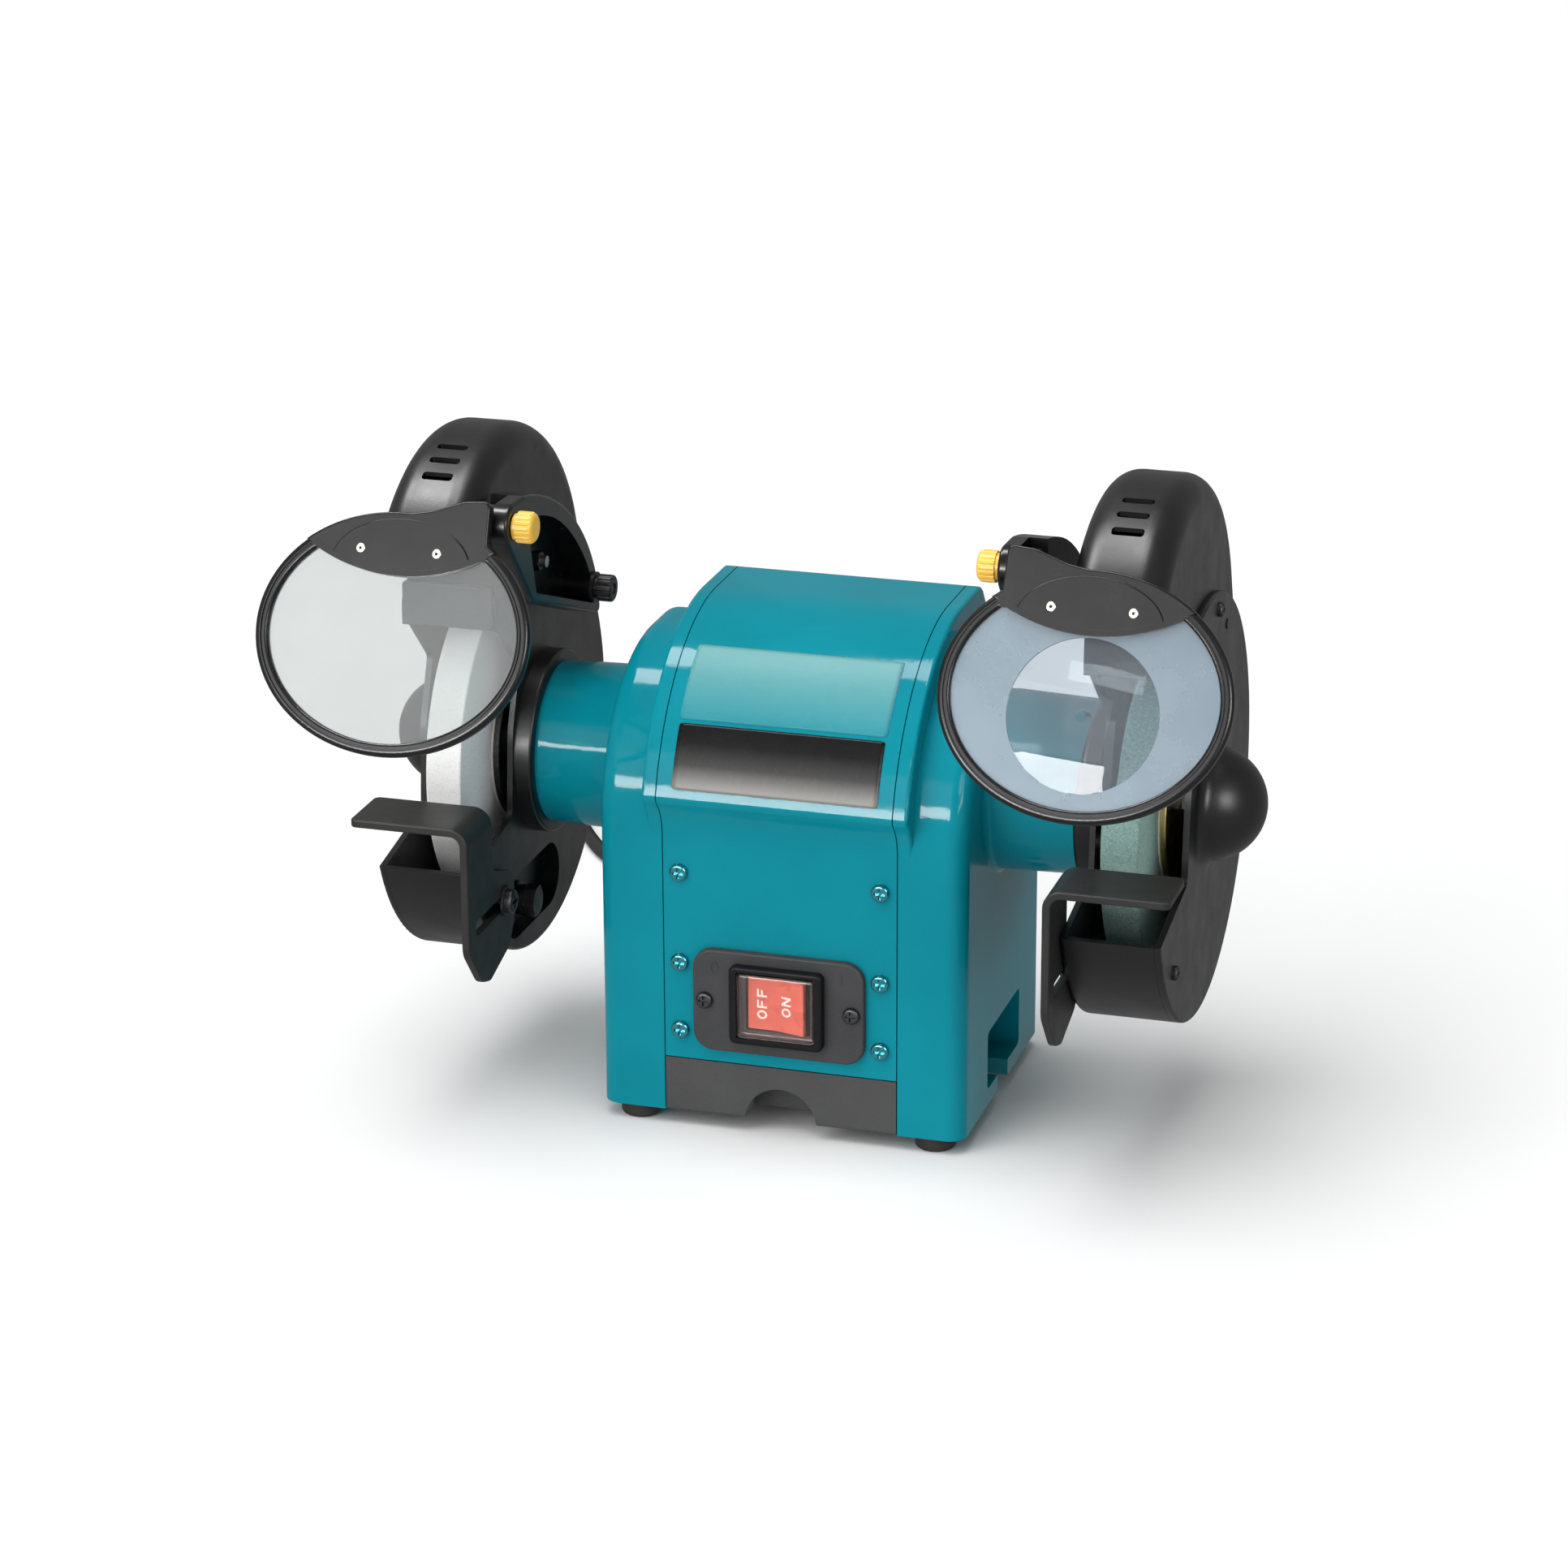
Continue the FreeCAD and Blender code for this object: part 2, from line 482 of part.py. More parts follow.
# vents in the hood
for k, a in enumerate((15.5, 22.0, 28.6)):
    h = 1.9 if k < 2 else 2.3
    s = xy(rect(WHEEL_X - 6.8, WHEEL_X + 6.8, HOOD_C[0] - h, HOOD_C[0] + h, 1.6), HOOD_C[1] + HOOD_R - 8, HOOD_C[1] + HOOD_R + 8)
    s.rotate(V(0, *HOOD_C), V(1, 0, 0), a)
    guard = guard.cut(s)
s = xy(rect(WHEEL_X - 6.8, WHEEL_X + 6.8, HOOD_C[0] - 1.9, HOOD_C[0] + 1.9, 1.6), HOOD_C[1] + HOOD_R - 8, HOOD_C[1] + HOOD_R + 8)
s.rotate(V(0, *HOOD_C), V(1, 0, 0), -24.0)
guard = guard.cut(s)
guard = one(guard)
both("guard", guard)

gcover = cx(DISC_R, COVER_X0, COVER_X1, *DISC_C)
gcover = fil(gcover, 1.4, lambda e: on_x(e, COVER_X1))
# dome with a hollow blend at its foot, turned in one piece
DOME_BLEND = 6.0
bx_c = COVER_X1 + DOME_BLEND
br = math.sqrt((DOME_R + DOME_BLEND) ** 2 - (bx_c - DOME_X) ** 2)
k = DOME_R / (DOME_R + DOME_BLEND)
tan_p = (DOME_X + (bx_c - DOME_X) * k, br * k)
a_end = math.atan2(tan_p[1], tan_p[0] - DOME_X)
a0 = math.atan2(tan_p[1] - br, tan_p[0] - bx_c)
am = (a0 - math.pi) / 2 if a0 < 0 else (a0 + math.pi) / 2
P = lambda x, r: V(x, 0, AXIS_Z + r)
dome_w = Part.Wire([
    Part.Arc(P(DOME_X + DOME_R, 0), P(DOME_X + DOME_R * math.cos(a_end / 2), DOME_R * math.sin(a_end / 2)), P(*tan_p)).toShape(),
    Part.Arc(P(*tan_p), P(bx_c + DOME_BLEND * math.cos(am), br + DOME_BLEND * math.sin(am)), P(COVER_X1, br)).toShape(),
    Part.makeLine(P(COVER_X1, br), P(COVER_X0 + 0.4, br)),
    Part.makeLine(P(COVER_X0 + 0.4, br), P(COVER_X0 + 0.4, 0)),
    Part.makeLine(P(COVER_X0 + 0.4, 0), P(DOME_X + DOME_R, 0)),
])
dome = Part.Face(dome_w).revolve(V(0, 0, AXIS_Z), V(1, 0, 0), 360)
print("dome", dome.isValid(), round(dome.Volume), a0, am)
gcover = one(gcover.fuse(dome))
gcover = gcover.cut(Part.makeSphere(DOME_R - 2.5, V(DOME_X, 0, AXIS_Z)))
gcover = gcover.cut(yz(OPENING, COVER_X0 - 2, COVER_X1 + 3))
for y, z in COVER_SCREWS:
    gcover = gcover.cut(cx(1.8, 168, 175, y, z))
# small locating pip beside the upper screw
gcover = gcover.fuse(cx(2.2, COVER_X1 - 0.5, COVER_X1 + 0.5, 25.5, 221.0))
gcover = one(gcover)
both("guard_cover", gcover)


def pan_screw_x(y, z, x_face, head_r, head_h, shank_r, length):
    head = fil(cx(head_r, x_face, x_face + head_h, y, z), head_h * 0.5, lambda e: on_x(e, x_face + head_h))
    s = head.fuse(cx(shank_r, x_face - length, x_face, y, z))
    a, b = head_r * 0.62, head_r * 0.14
    x_in = x_face + head_h * 0.45
    cross = bx(x_in, x_face + head_h + 1, y - a, y + a, z - b, z + b).fuse(bx(x_in, x_face + head_h + 1, y - b, y + b, z - a, z + a))
    return one(s.cut(cross))


pair("guard_cover_screws", [pan_screw_x(y, z, COVER_X1, 3.2, 1.9, 1.5, 18.0) for y, z in COVER_SCREWS])
pair("guard_bolts", [
    one(cx(4.6, GUARD_X0 + GUARD_T, GUARD_X0 + GUARD_T + 3.4, y, z).fuse(cx(2.5, 114, GUARD_X0 + GUARD_T, y, z)))
    for y, z in GUARD_BOLTS
])

# ---------------------------------------------------------------- spark arrestor
ARR_Y0, ARR_Y1 = -60.4, -58.4
arr = bx(130.0, 171.0, ARR_Y0, ARR_Y1, 217.5, 236.5)
arr = fil(arr, 2.0, lambda e: abs(e.BoundBox.YLength - 2.0) < 1e-3 and e.BoundBox.ZLength < 1e-3)
arr = arr.fuse(cy(2.3, ARR_Y1 - 0.5, -47.0, ARR_X, ARR_Z))
both("spark_arrestor", one(arr))
arr_nut = hexagon_x(8.0, 0.0, 4.0, 0, 0)
arr_nut.rotate(V(0, 0, 0), V(0, 0, 1), 90)
arr_nut.translate(V(ARR_X, -55.2, ARR_Z))
arr_nut = arr_nut.cut(cy(2.33, -60, -45, ARR_X, ARR_Z))
both("arrestor_nut", one(arr_nut))

# ---------------------------------------------------------------- tool rest
LEG_X0, LEG_X1 = 125.6, 129.1
bend = xz([
    (LEG_X0, 120), (LEG_X0, REST_Z, 8.0), (179.0, REST_Z), (179.0, REST_Z - REST_T), (LEG_X1, REST_Z - REST_T, 4.5), (LEG_X1, 120),
], REST_Y0, REST_Y1)
bend = fil(bend, 3.0, lambda e: e.BoundBox.ZLength > 3.0 and e.BoundBox.XLength < 1e-3 and e.BoundBox.YLength < 1e-3 and e.BoundBox.XMin > 178)
leg = yz([(REST_Y0, 124), (REST_Y0, 87, 10), (-96, 69, 10), (-86, 66, 6), (-62, 73, 8), (-54, 84, 6), (-54, 106, 6), (REST_Y1, 115, 6), (REST_Y1, 124)], LEG_X0, LEG_X1)
rest = one(bend.fuse(leg))
rest = rest.cut(yz(rect(-103, -56, REST_BOLT[1] - 3.6, REST_BOLT[1] + 3.6, 3.55), LEG_X0 - 1, LEG_X1 + 1))
rest = fil(rest, 0.7, lambda e: on_z(e, REST_Z) or (on_y(e, REST_Y0) and e.BoundBox.XLength > 30))
both("tool_rest", one(rest))
bolt = fil(cx(5.4, LEG_X0 - 4.5, LEG_X0 - 1.2, *REST_BOLT), 1.5, lambda e: on_x(e, LEG_X0 - 4.5))
bolt = bolt.fuse(cx(7.0, LEG_X0 - 1.3, LEG_X0 - 0.3, *REST_BOLT))
bolt = bolt.fuse(cx(2.9, LEG_X0 - 0.5, 144.5, *REST_BOLT))
for ly, lz in ((3.2, 0.7), (0.7, 3.2)):
    bolt = bolt.cut(bx(LEG_X0 - 6, LEG_X0 - 3.0, REST_BOLT[0] - ly, REST_BOLT[0] + ly, REST_BOLT[1] - lz, REST_BOLT[1] + lz))
# hexagon bolt with washers in the pocket of each guard
pocket_bolt = hexagon_x(13.0, 126.4, 132.2, *POCKET_BOLT).fuse(cx(6.9, 132.1, 134.4, *POCKET_BOLT))
pocket_bolt = pocket_bolt.fuse(cx(8.4, 135.2, 137.3, *POCKET_BOLT)).fuse(cx(5.6, 134.3, 135.3, *POCKET_BOLT)).fuse(cx(3.0, 131.0, 139.2, *POCKET_BOLT))
pair("rest_bolts", [one(bolt), one(pocket_bolt)])

# ---------------------------------------------------------------- shield arm
ARM_X0, ARM_X1 = 104.5, 120.0
BOSS_R, BOSS_X1 = 9.6, 112.0


def spline_yz(points, x):
    b = Part.BSplineCurve()
    b.interpolate([V(x, y, z) for y, z in points])
    return b.toShape()


TOP_ARC = [(-86, 286.6), (-62, 280.4), (-31, 265), (-12, 249), (2, 229), (7, 207)]


def arm_face(x, top, low):
    edges = [spline_yz(top, x)]
    pts = [top[-1]] + low + [top[0]]
    edges += [Part.makeLine(V(x, *a), V(x, *b)) for a, b in zip(pts[:-1], pts[1:])]
    return Part.Face(Part.Wire(edges))


def touch(p, side):
    """Tangent point on the pivot boss of a line from p."""
    dy, dz = p[0] - PIVOT_Y, p[1] - PIVOT_Z
    a = math.atan2(dz, dy) + side * math.acos(BOSS_R / math.hypot(dy, dz))
    return a, (PIVOT_Y + BOSS_R * math.cos(a), PIVOT_Z + BOSS_R * math.sin(a))


LOW_Y, LOW_Z = -79.0, 238.0
a_top, p_top = touch(TOP_ARC[0], 1)
a_low, p_low = touch((LOW_Y, LOW_Z), -1)
a_mid = (a_top + a_low + 2 * math.pi) / 2
X0 = lambda p: V(ARM_X0, *p)
arm = Part.Face(Part.Wire([
    Part.makeLine(X0(p_top), X0(TOP_ARC[0])),
    spline_yz(TOP_ARC, ARM_X0),
    Part.makeLine(X0(TOP_ARC[-1]), X0((LOW_Y, LOW_Z))),
    Part.makeLine(X0((LOW_Y, LOW_Z)), X0(p_low)),
    Part.Arc(X0(p_low), X0((PIVOT_Y + BOSS_R * math.cos(a_mid), PIVOT_Z + BOSS_R * math.sin(a_mid))), X0(p_top)).toShape(),
])).extrude(V(ARM_X1 - ARM_X0, 0, 0))
arm = fil(arm, 5.0, lambda e: e.BoundBox.XLength > 10 and abs(e.BoundBox.YMin - LOW_Y) < 0.01 and abs(e.BoundBox.ZMin - LOW_Z) < 0.01)
arm = fil(arm, 3.0, lambda e: e.BoundBox.XLength > 10 and abs(e.BoundBox.ZMin - TOP_ARC[-1][1]) < 0.01)
arm = fil(arm, 1.6, lambda e: on_x(e, ARM_X0))
arm = arm.cut(bx(BOSS_X1, ARM_X1 + 1, -120, -86.0, 220, 300))
hollow = arm_face(ARM_X0 - 1, [(-84.5, 275.5), (-72, 274.0), (-56, 269.5), (-33, 257), (-17, 243), (-6, 228), (-3.5, 215)], [(-75, 241.0)]).extrude(V(ARM_X1 - ARM_X0 - 2.0, 0, 0))
for y, z in ARM_BOLTS:
    arm = arm.fuse(cx(7.0, ARM_X1 - 1, GUARD_X0, y, z))
arm = arm.cut(hollow)
arm = arm.fuse(cx(6.2, ARM_X0, ARM_X1 - 1, *ARM_BOLTS[0]))
for y, z in ARM_BOLTS:
    arm = arm.cut(cx(2.6, 90, 135, y, z))
STUD_R = 2.5
arm = arm.cut(cx(STUD_R + 0.08, 100, 125, PIVOT_Y, PIVOT_Z))
both("shield_arm", one(arm))

arm_bolts, arm_nuts = [], []
for k, (y, z) in enumerate(ARM_BOLTS):
    x_end = 96.0 if k == 0 else 110.0
    arm_bolts.append(one(hexagon_x(8.0, GUARD_X0 + GUARD_T, GUARD_X0 + GUARD_T + 3.5, y, z).fuse(cx(2.5, x_end, GUARD_X0 + GUARD_T, y, z))))
n0 = fil(cx(6.0, 95.0, 101.5, *ARM_BOLTS[0]), 1.2, lambda e: on_x(e, 95.0))
n0 = n0.fuse(cx(4.8, 101.4, ARM_X0 - 1.4, *ARM_BOLTS[0])).fuse(cx(6.8, ARM_X0 - 1.5, ARM_X0, *ARM_BOLTS[0]))
for k in range(14):
    a = math.radians(360 / 14 * k)
    n0 = n0.cut(cx(0.75, 94, 101.4, ARM_BOLTS[0][0] + 6.25 * math.cos(a), ARM_BOLTS[0][1] + 6.25 * math.sin(a)))
n0 = n0.cut(cx(2.52, 94.8, 108, *ARM_BOLTS[0]))
n1 = hexagon_x(8.0, 112.5, 116.45, *ARM_BOLTS[1]).cut(cx(2.52, 110, 118, *ARM_BOLTS[1]))
pair("arm_bolts", arm_bolts)
pair("arm_nuts", [one(n0), one(n1)])

# ---------------------------------------------------------------- eye shield (built flat: u across, v up, w to the front)
SH_PLACE = FreeCAD.Placement(V(*SHIELD_C), FreeCAD.Rotation(V(1, 0, 0), SHIELD_TILT))


def ellipse_prism(a, b, w0, w1):
    e = Part.Ellipse(V(0, 0, w0), a, b).toShape() if a >= b else None
    return Part.Face(Part.Wire([e])).extrude(V(0, 0, w1 - w0))


def loc_cyl(r, u, v, w0, w1):
    return Part.makeCylinder(r, w1 - w0, V(u, v, w0), V(0, 0, 1))


frame_out = ellipse_prism(SHIELD_A, SHIELD_B, -RING_T / 2, RING_T / 2)
frame_out = fil(frame_out, 2.2, lambda e: True if abs(e.BoundBox.ZLength) < 1e-3 else False)
ring_in = ellipse_prism(SHIELD_A - RING_W, SHIELD_B - RING_W, -5, 5)
ring = frame_out.cut(ring_in)
ring = fil(ring, 1.2, lambda e: e.BoundBox.ZLength < 1e-3 and e.BoundBox.XMax < SHIELD_A - RING_W + 0.2 and e.BoundBox.XMax > SHIELD_A - RING_W - 0.2)
# fine groove round the front of the ring
ring = ring.cut(ellipse_prism(SHIELD_A - 2.7, SHIELD_B - 2.7, RING_T / 2 - 0.8, 6).cut(ellipse_prism(SHIELD_A - 3.8, SHIELD_B - 3.8, 0, 7)))
# top plate: the upper part of the oval above a hollow arc, with a tab towards the motor
PLATE_W, PLATE_B, TAB_B = 3.0, 2.9, 2.0
ARC_R, ARC_V = 76.0, 24.4
top_zone = loc_cyl(ARC_R, 0, ARC_V + ARC_R, -7, 7)
plate_in = ellipse_prism(SHIELD_A + 0.1, SHIELD_B + 0.1, -PLATE_B, PLATE_W).common(top_zone)
tab = Part.Face(rounded([(-38.0, 33.0), (-37.2, 58.6, 3.0), (-26.0, 57.6, 8.0), (-12.0, 52.6, 20.0), (6.0, 49.5), (6.0, 40.0), (-20.0, 33.0)], lambda u, v: V(u, v, -TAB_B))).extrude(V(0, 0, TAB_B + PLATE_W))
plate_in = one(plate_in.fuse(tab))
plate_in = fil(plate_in, 0.9, lambda e: on_z(e, PLATE_W) and e.Length > 3.0)
frame = ring.fuse(plate_in)
# raised rim along the hollow lower edge of the plate
rim = loc_cyl(ARC_R, 0, ARC_V + ARC_R, -PLATE_B - 0.3, PLATE_W + 0.3).cut(loc_cyl(ARC_R - 2.6, 0, ARC_V + ARC_R, -7, 7))
rim = rim.common(ellipse_prism(SHIELD_A - 2.5, SHIELD_B - 2.5, -5, 5))
frame = frame.fuse(rim)
# raised panel on the front of the plate
pad = ellipse_prism(30.5, 19.0, PLATE_W - 0.1, PLATE_W + 0.7)
pad = fil(pad, 0.45, lambda e: on_z(e, PLATE_W + 0.7))
pad.translate(V(-1.0, 29.3, 0))
pad = pad.common(loc_cyl(ARC_R - 2.4, 0, ARC_V + ARC_R, -7, 7))
frame = frame.fuse(pad)
# lug behind the tab, with the eye on the pivot
LUG_U0, LUG_U1 = 112.35 - SHIELD_C[0], 120.0 - SHIELD_C[0]
t = math.radians(SHIELD_TILT)
dy, dz = PIVOT_Y - SHIELD_C[1], PIVOT_Z - SHIELD_C[2]
PIV_V = dy * math.cos(t) + dz * math.sin(t)
PIV_W = -dy * math.sin(t) + dz * math.cos(t)
lug = Part.makeCylinder(8.4, LUG_U1 - LUG_U0, V(LUG_U0, PIV_V, PIV_W), V(1, 0, 0))
lug = lug.fuse(Part.makeBox(LUG_U1 - LUG_U0, 14.0, -TAB_B - PIV_W + 0.5, V(LUG_U0, PIV_V - 8.4, PIV_W)))
frame = frame.fuse(lug)
frame = frame.cut(Part.makeCylinder(STUD_R + 0.08, 40, V(LUG_U0 - 10, PIV_V, PIV_W), V(1, 0, 0)))
RIVETS = [(-16.8, 34.7), (16.8, 34.7)]
for u, v in RIVETS:
    frame = frame.cut(loc_cyl(1.6, u, v, -9, 9))
LENS_T = 2.0
lens_gap = 0.05
groove = ellipse_prism(SHIELD_A - RING_W + 1.6, SHIELD_B - RING_W + 1.6, -LENS_T / 2 - lens_gap, LENS_T / 2 + lens_gap)
frame = frame.cut(groove.common(Part.makeBox(300, 300, 20, V(-150, -150, -10)).cut(loc_cyl(ARC_R - 6.0, 0, ARC_V + ARC_R, -9, 9))))
frame = one(frame)
if frame.Volume < 0:
    frame.reverse()
lens = ellipse_prism(SHIELD_A - RING_W + 1.5, SHIELD_B - RING_W + 1.5, -LENS_T / 2, LENS_T / 2)
lens = one(lens.cut(loc_cyl(ARC_R - 5.9, 0, ARC_V + ARC_R, -9, 9)))
rivets = []
for u, v in RIVETS:
    r = fil(loc_cyl(2.05, u, v, PLATE_W + 0.7, PLATE_W + 1.5), 0.5, lambda e: on_z(e, PLATE_W + 1.5))
    r = r.fuse(loc_cyl(1.55, u, v, -PLATE_B, PLATE_W + 0.8)).fuse(loc_cyl(2.1, u, v, -PLATE_B - 0.7, -PLATE_B))
    r = r.cut(loc_cyl(0.7, u, v, -9, 9))
    rivets.append(one(r))
# round magnifier: thick in the middle on both sides, set into a hole in the right lens
MAG_R, MAG_V, MAG_H = 31.2, -7.4, 2.6
ball_r = (MAG_R ** 2 + MAG_H ** 2) / (2 * MAG_H)
half = Part.makeSphere(ball_r, V(0, MAG_V, LENS_T / 2 + MAG_H - ball_r))
mag = half.common(half.mirror(V(0, 0, 0), V(0, 0, 1)))
mag = one(mag.common(loc_cyl(MAG_R, 0, MAG_V, -9, 9)))
lens_right = one(lens.cut(loc_cyl(MAG_R + 0.05, 0, MAG_V, -9, 9)))


def placed(s):
    s = s.copy()
    s.Placement = SH_PLACE.multiply(s.Placement)
    return s


shapes["left_shield_frame"] = mirrored(placed(frame))
shapes["right_shield_frame"] = mirrored(shapes["left_shield_frame"])
shapes["left_shield_lens"] = mirrored(placed(lens))
shapes["right_shield_lens"] = placed(lens_right)
both("shield_rivets", placed(Part.makeCompound(rivets)))
shapes["right_magnifier"] = placed(mag)

# ---------------------------------------------------------------- clamp knob and pivot stud
KNOB_X0, KNOB_X1, KNOB_R = 94.8, 104.1, 6.7
knob = cx(KNOB_R, KNOB_X0, KNOB_X1 - 1.6, PIVOT_Y, PIVOT_Z)
knob = fil(knob, 2.6, lambda e: on_x(e, KNOB_X0))
for k in range(18):
    a = math.radians(20.0 * k)
    knob = knob.cut(cx(0.8, KNOB_X0 - 1, KNOB_X1, PIVOT_Y + (KNOB_R + 0.3) * math.cos(a), PIVOT_Z + (KNOB_R + 0.3) * math.sin(a)))
knob = knob.fuse(cx(5.6, KNOB_X1 - 1.7, KNOB_X1, PIVOT_Y, PIVOT_Z))
knob = knob.cut(cx(STUD_R + 0.02, 97.5, 110, PIVOT_Y, PIVOT_Z))
both("shield_knob", one(knob))
both("pivot_stud", cx(STUD_R, 97.52, 119.5, PIVOT_Y, PIVOT_Z))

# ---------------------------------------------------------------- mains lead
gland = Part.makeCone(7.6, 5.0, GLAND_END_Y - 71.0, V(GLAND_X, 71.0, GLAND_Z), V(0, 1, 0))
for k in range(5):
    y = 77.0 + 5.0 * k
    gland = gland.cut(cy(12, y, y + 1.8, GLAND_X, GLAND_Z).cut(cy(4.6, y - 1, y + 3, GLAND_X, GLAND_Z)))
gland = gland.fuse(cy(9.6, 68.0, 71.2, GLAND_X, GLAND_Z)).fuse(cy(7.0, 63.0, 68.2, GLAND_X, GLAND_Z))
shapes["cord_gland"] = one(gland)

ROUTE = [
    (GLAND_X, GLAND_END_Y, GLAND_Z), (-25.2, 127.0, 19.2), (-29.0, 152.0, 11.5), (-42.0, 178.0, 4.2), (-66.0, 197.0, 3.6),
    (-96.0, 206.5, 3.6), (-128.0, 208.5, 3.6), (-158.0, 213.0, 3.6), (-182.0, 231.0, 3.6), (-202.0, 259.0, 3.6),
    (-218.0, 289.0, 3.6), (-224.8, 318.0, 4.0), (COIL_C[0] - COIL_R[1], COIL_C[1], COIL_LOW + CORD_D / 2),
]


def cord_path(points):
    pts = [V(*p) for p in points]
    edges, start, radii = [], pts[0], []
    for i in range(1, len(pts) - 1):
        a, b = pts[i - 1] - pts[i], pts[i + 1] - pts[i]
        la, lb = a.Length, b.Length
        a.normalize()
        b.normalize()
        inner_angle = a.getAngle(b)
        turn = math.pi - inner_angle
        r = 0.45 * min(la, lb) / math.tan(turn / 2)
        tl = r * math.tan(turn / 2)
        s, e = pts[i] + a * tl, pts[i] + b * tl
        bis = a + b
        bis.normalize()
        m = pts[i] + bis * (r / math.cos(turn / 2) - r)
        edges.append(Part.LineSegment(start, s).toShape())
        edges.append(Part.Arc(s, m, e).toShape())
        radii.append(round(r, 1))
        start = e
    edges.append(Part.LineSegment(start, pts[-1]).toShape())
    return Part.Wire(edges), radii


path, radii = cord_path(ROUTE)
print("cord arc radii", radii)
first = (V(*ROUTE[1]) - V(*ROUTE[0])).normalize()
section = Part.Wire([Part.makeCircle(CORD_D / 2, V(*ROUTE[0]), first)])
cord = path.makePipeShell([section], True, False)
print("cord volume", round(cord.Volume, 1), "section x length", round(math.pi * (CORD_D / 2) ** 2 * path.Length, 1), "length", round(path.Length, 1))
shapes["power_cord"] = cord.Solids[0] if cord.Solids else cord

coil_top = COIL_LOW + COIL_LAYERS * CORD_D
coil = cz(COIL_R[1] + CORD_D / 2, COIL_LOW, coil_top, *COIL_C).cut(cz(COIL_R[0] - CORD_D / 2, 0, coil_top + 1, *COIL_C))
shapes["cord_coil"] = fil(coil, 2.5, lambda e: on_z(e, COIL_LOW) or on_z(e, coil_top))

# tie round the bundle of turns, on the far side of the coil
tie_o = Part.makeBox(COIL_R[1] - COIL_R[0] + CORD_D + 2.6, 8.0, coil_top - COIL_LOW + 2.2, V(COIL_R[0] - CORD_D / 2 - 1.5, -4.0, COIL_LOW - 1.1))
tie_o = fil(tie_o, 2.2, lambda e: e.BoundBox.YLength > 7.9)
tie_i = Part.makeBox(COIL_R[1] - COIL_R[0] + CORD_D + 0.6, 20.0, coil_top - COIL_LOW + 0.2, V(COIL_R[0] - CORD_D / 2 - 0.5, -10.0, COIL_LOW - 0.1))
tie = one(tie_o.cut(fil(tie_i, 1.4, lambda e: e.BoundBox.YLength > 19.9)))
tie.rotate(V(0, 0, 0), V(0, 0, 1), 62.0)
tie.translate(V(COIL_C[0], COIL_C[1], 0))
shapes["cord_tie"] = tie

# plug lying in front of the coil, on the end of the top outer turn
PLUG_X, PLUG_Z = COIL_C[0] + COIL_R[1], COIL_LOW + 2.5 * CORD_D
PLUG_Y = 330.5
sleeve = Part.makeCone(5.0, 8.0, 26.0, V(PLUG_X, PLUG_Y, PLUG_Z), V(0, -1, 0))
body_p = Part.makeCylinder(PLUG_Z - 0.05, 27.0, V(PLUG_X, PLUG_Y - 25.0, PLUG_Z), V(0, -1, 0))
body_p = fil(body_p, 4.0, lambda e: on_y(e, PLUG_Y - 25.0))
plug = one(body_p.fuse(sleeve))
plug = plug.cut(cy(3.55, PLUG_Y - 8, PLUG_Y + 1, PLUG_X, PLUG_Z))
pins = []
for sx in (-9.5, 9.5):
    p = Part.makeCylinder(2.4, 26.0, V(PLUG_X + sx, PLUG_Y - 46.0, PLUG_Z), V(0, -1, 0))
    plug = plug.cut(Part.makeCylinder(2.42, 12.0, V(PLUG_X + sx, PLUG_Y - 46.0, PLUG_Z), V(0, -1, 0)))
    pins.append(fil(p, 1.6, lambda e: on_y(e, PLUG_Y - 72.0)))
shapes["plug_body"] = one(plug)
shapes["plug_pins"] = Part.makeCompound(pins)

# ---------------------------------------------------------------- out
CORD_NODES = ("power_cord", "cord_coil", "cord_tie", "plug_body", "plug_pins", "cord_gland")
lo, hi = [1e9] * 3, [-1e9] * 3
for name in sorted(shapes):
    s = shapes[name]
    s.translate(V(0, Y_SHIFT, 0))
    if not s.isValid() or s.Volume <= 0:
        print("CHECK", name, s.isValid(), s.Volume)
    if len(s.Solids) != 1:
        print(name, "solids", len(s.Solids))
    s.exportStep("parts/" + name + ".step")
    if name not in CORD_NODES:
        b = s.optimalBoundingBox(False, False)
        lo = [min(lo[0], b.XMin), min(lo[1], b.YMin), min(lo[2], b.ZMin)]
        hi = [max(hi[0], b.XMax), max(hi[1], b.YMax), max(hi[2], b.ZMax)]
print("nodes", len(shapes))
print("box", [round(v, 3) for v in lo], [round(v, 3) for v in hi], "centre y", round((lo[1] + hi[1]) / 2, 3))
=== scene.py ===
import json
import math

import bmesh
import bpy
from mathutils import Matrix, Vector


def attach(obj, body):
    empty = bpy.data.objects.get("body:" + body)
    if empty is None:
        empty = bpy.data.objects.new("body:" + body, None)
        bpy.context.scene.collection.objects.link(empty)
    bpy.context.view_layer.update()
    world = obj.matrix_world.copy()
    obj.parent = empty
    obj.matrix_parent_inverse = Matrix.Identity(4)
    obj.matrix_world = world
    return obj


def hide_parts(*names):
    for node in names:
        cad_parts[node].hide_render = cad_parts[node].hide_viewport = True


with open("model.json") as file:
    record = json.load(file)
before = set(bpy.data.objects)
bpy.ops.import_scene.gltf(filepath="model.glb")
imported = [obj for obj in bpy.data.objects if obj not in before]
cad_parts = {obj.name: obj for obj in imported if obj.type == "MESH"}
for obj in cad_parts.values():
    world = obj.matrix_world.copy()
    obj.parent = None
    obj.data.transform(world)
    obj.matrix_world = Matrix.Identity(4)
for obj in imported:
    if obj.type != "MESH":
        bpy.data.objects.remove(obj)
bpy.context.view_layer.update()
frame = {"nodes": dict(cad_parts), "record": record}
nodes = frame["nodes"]
scene = bpy.context.scene

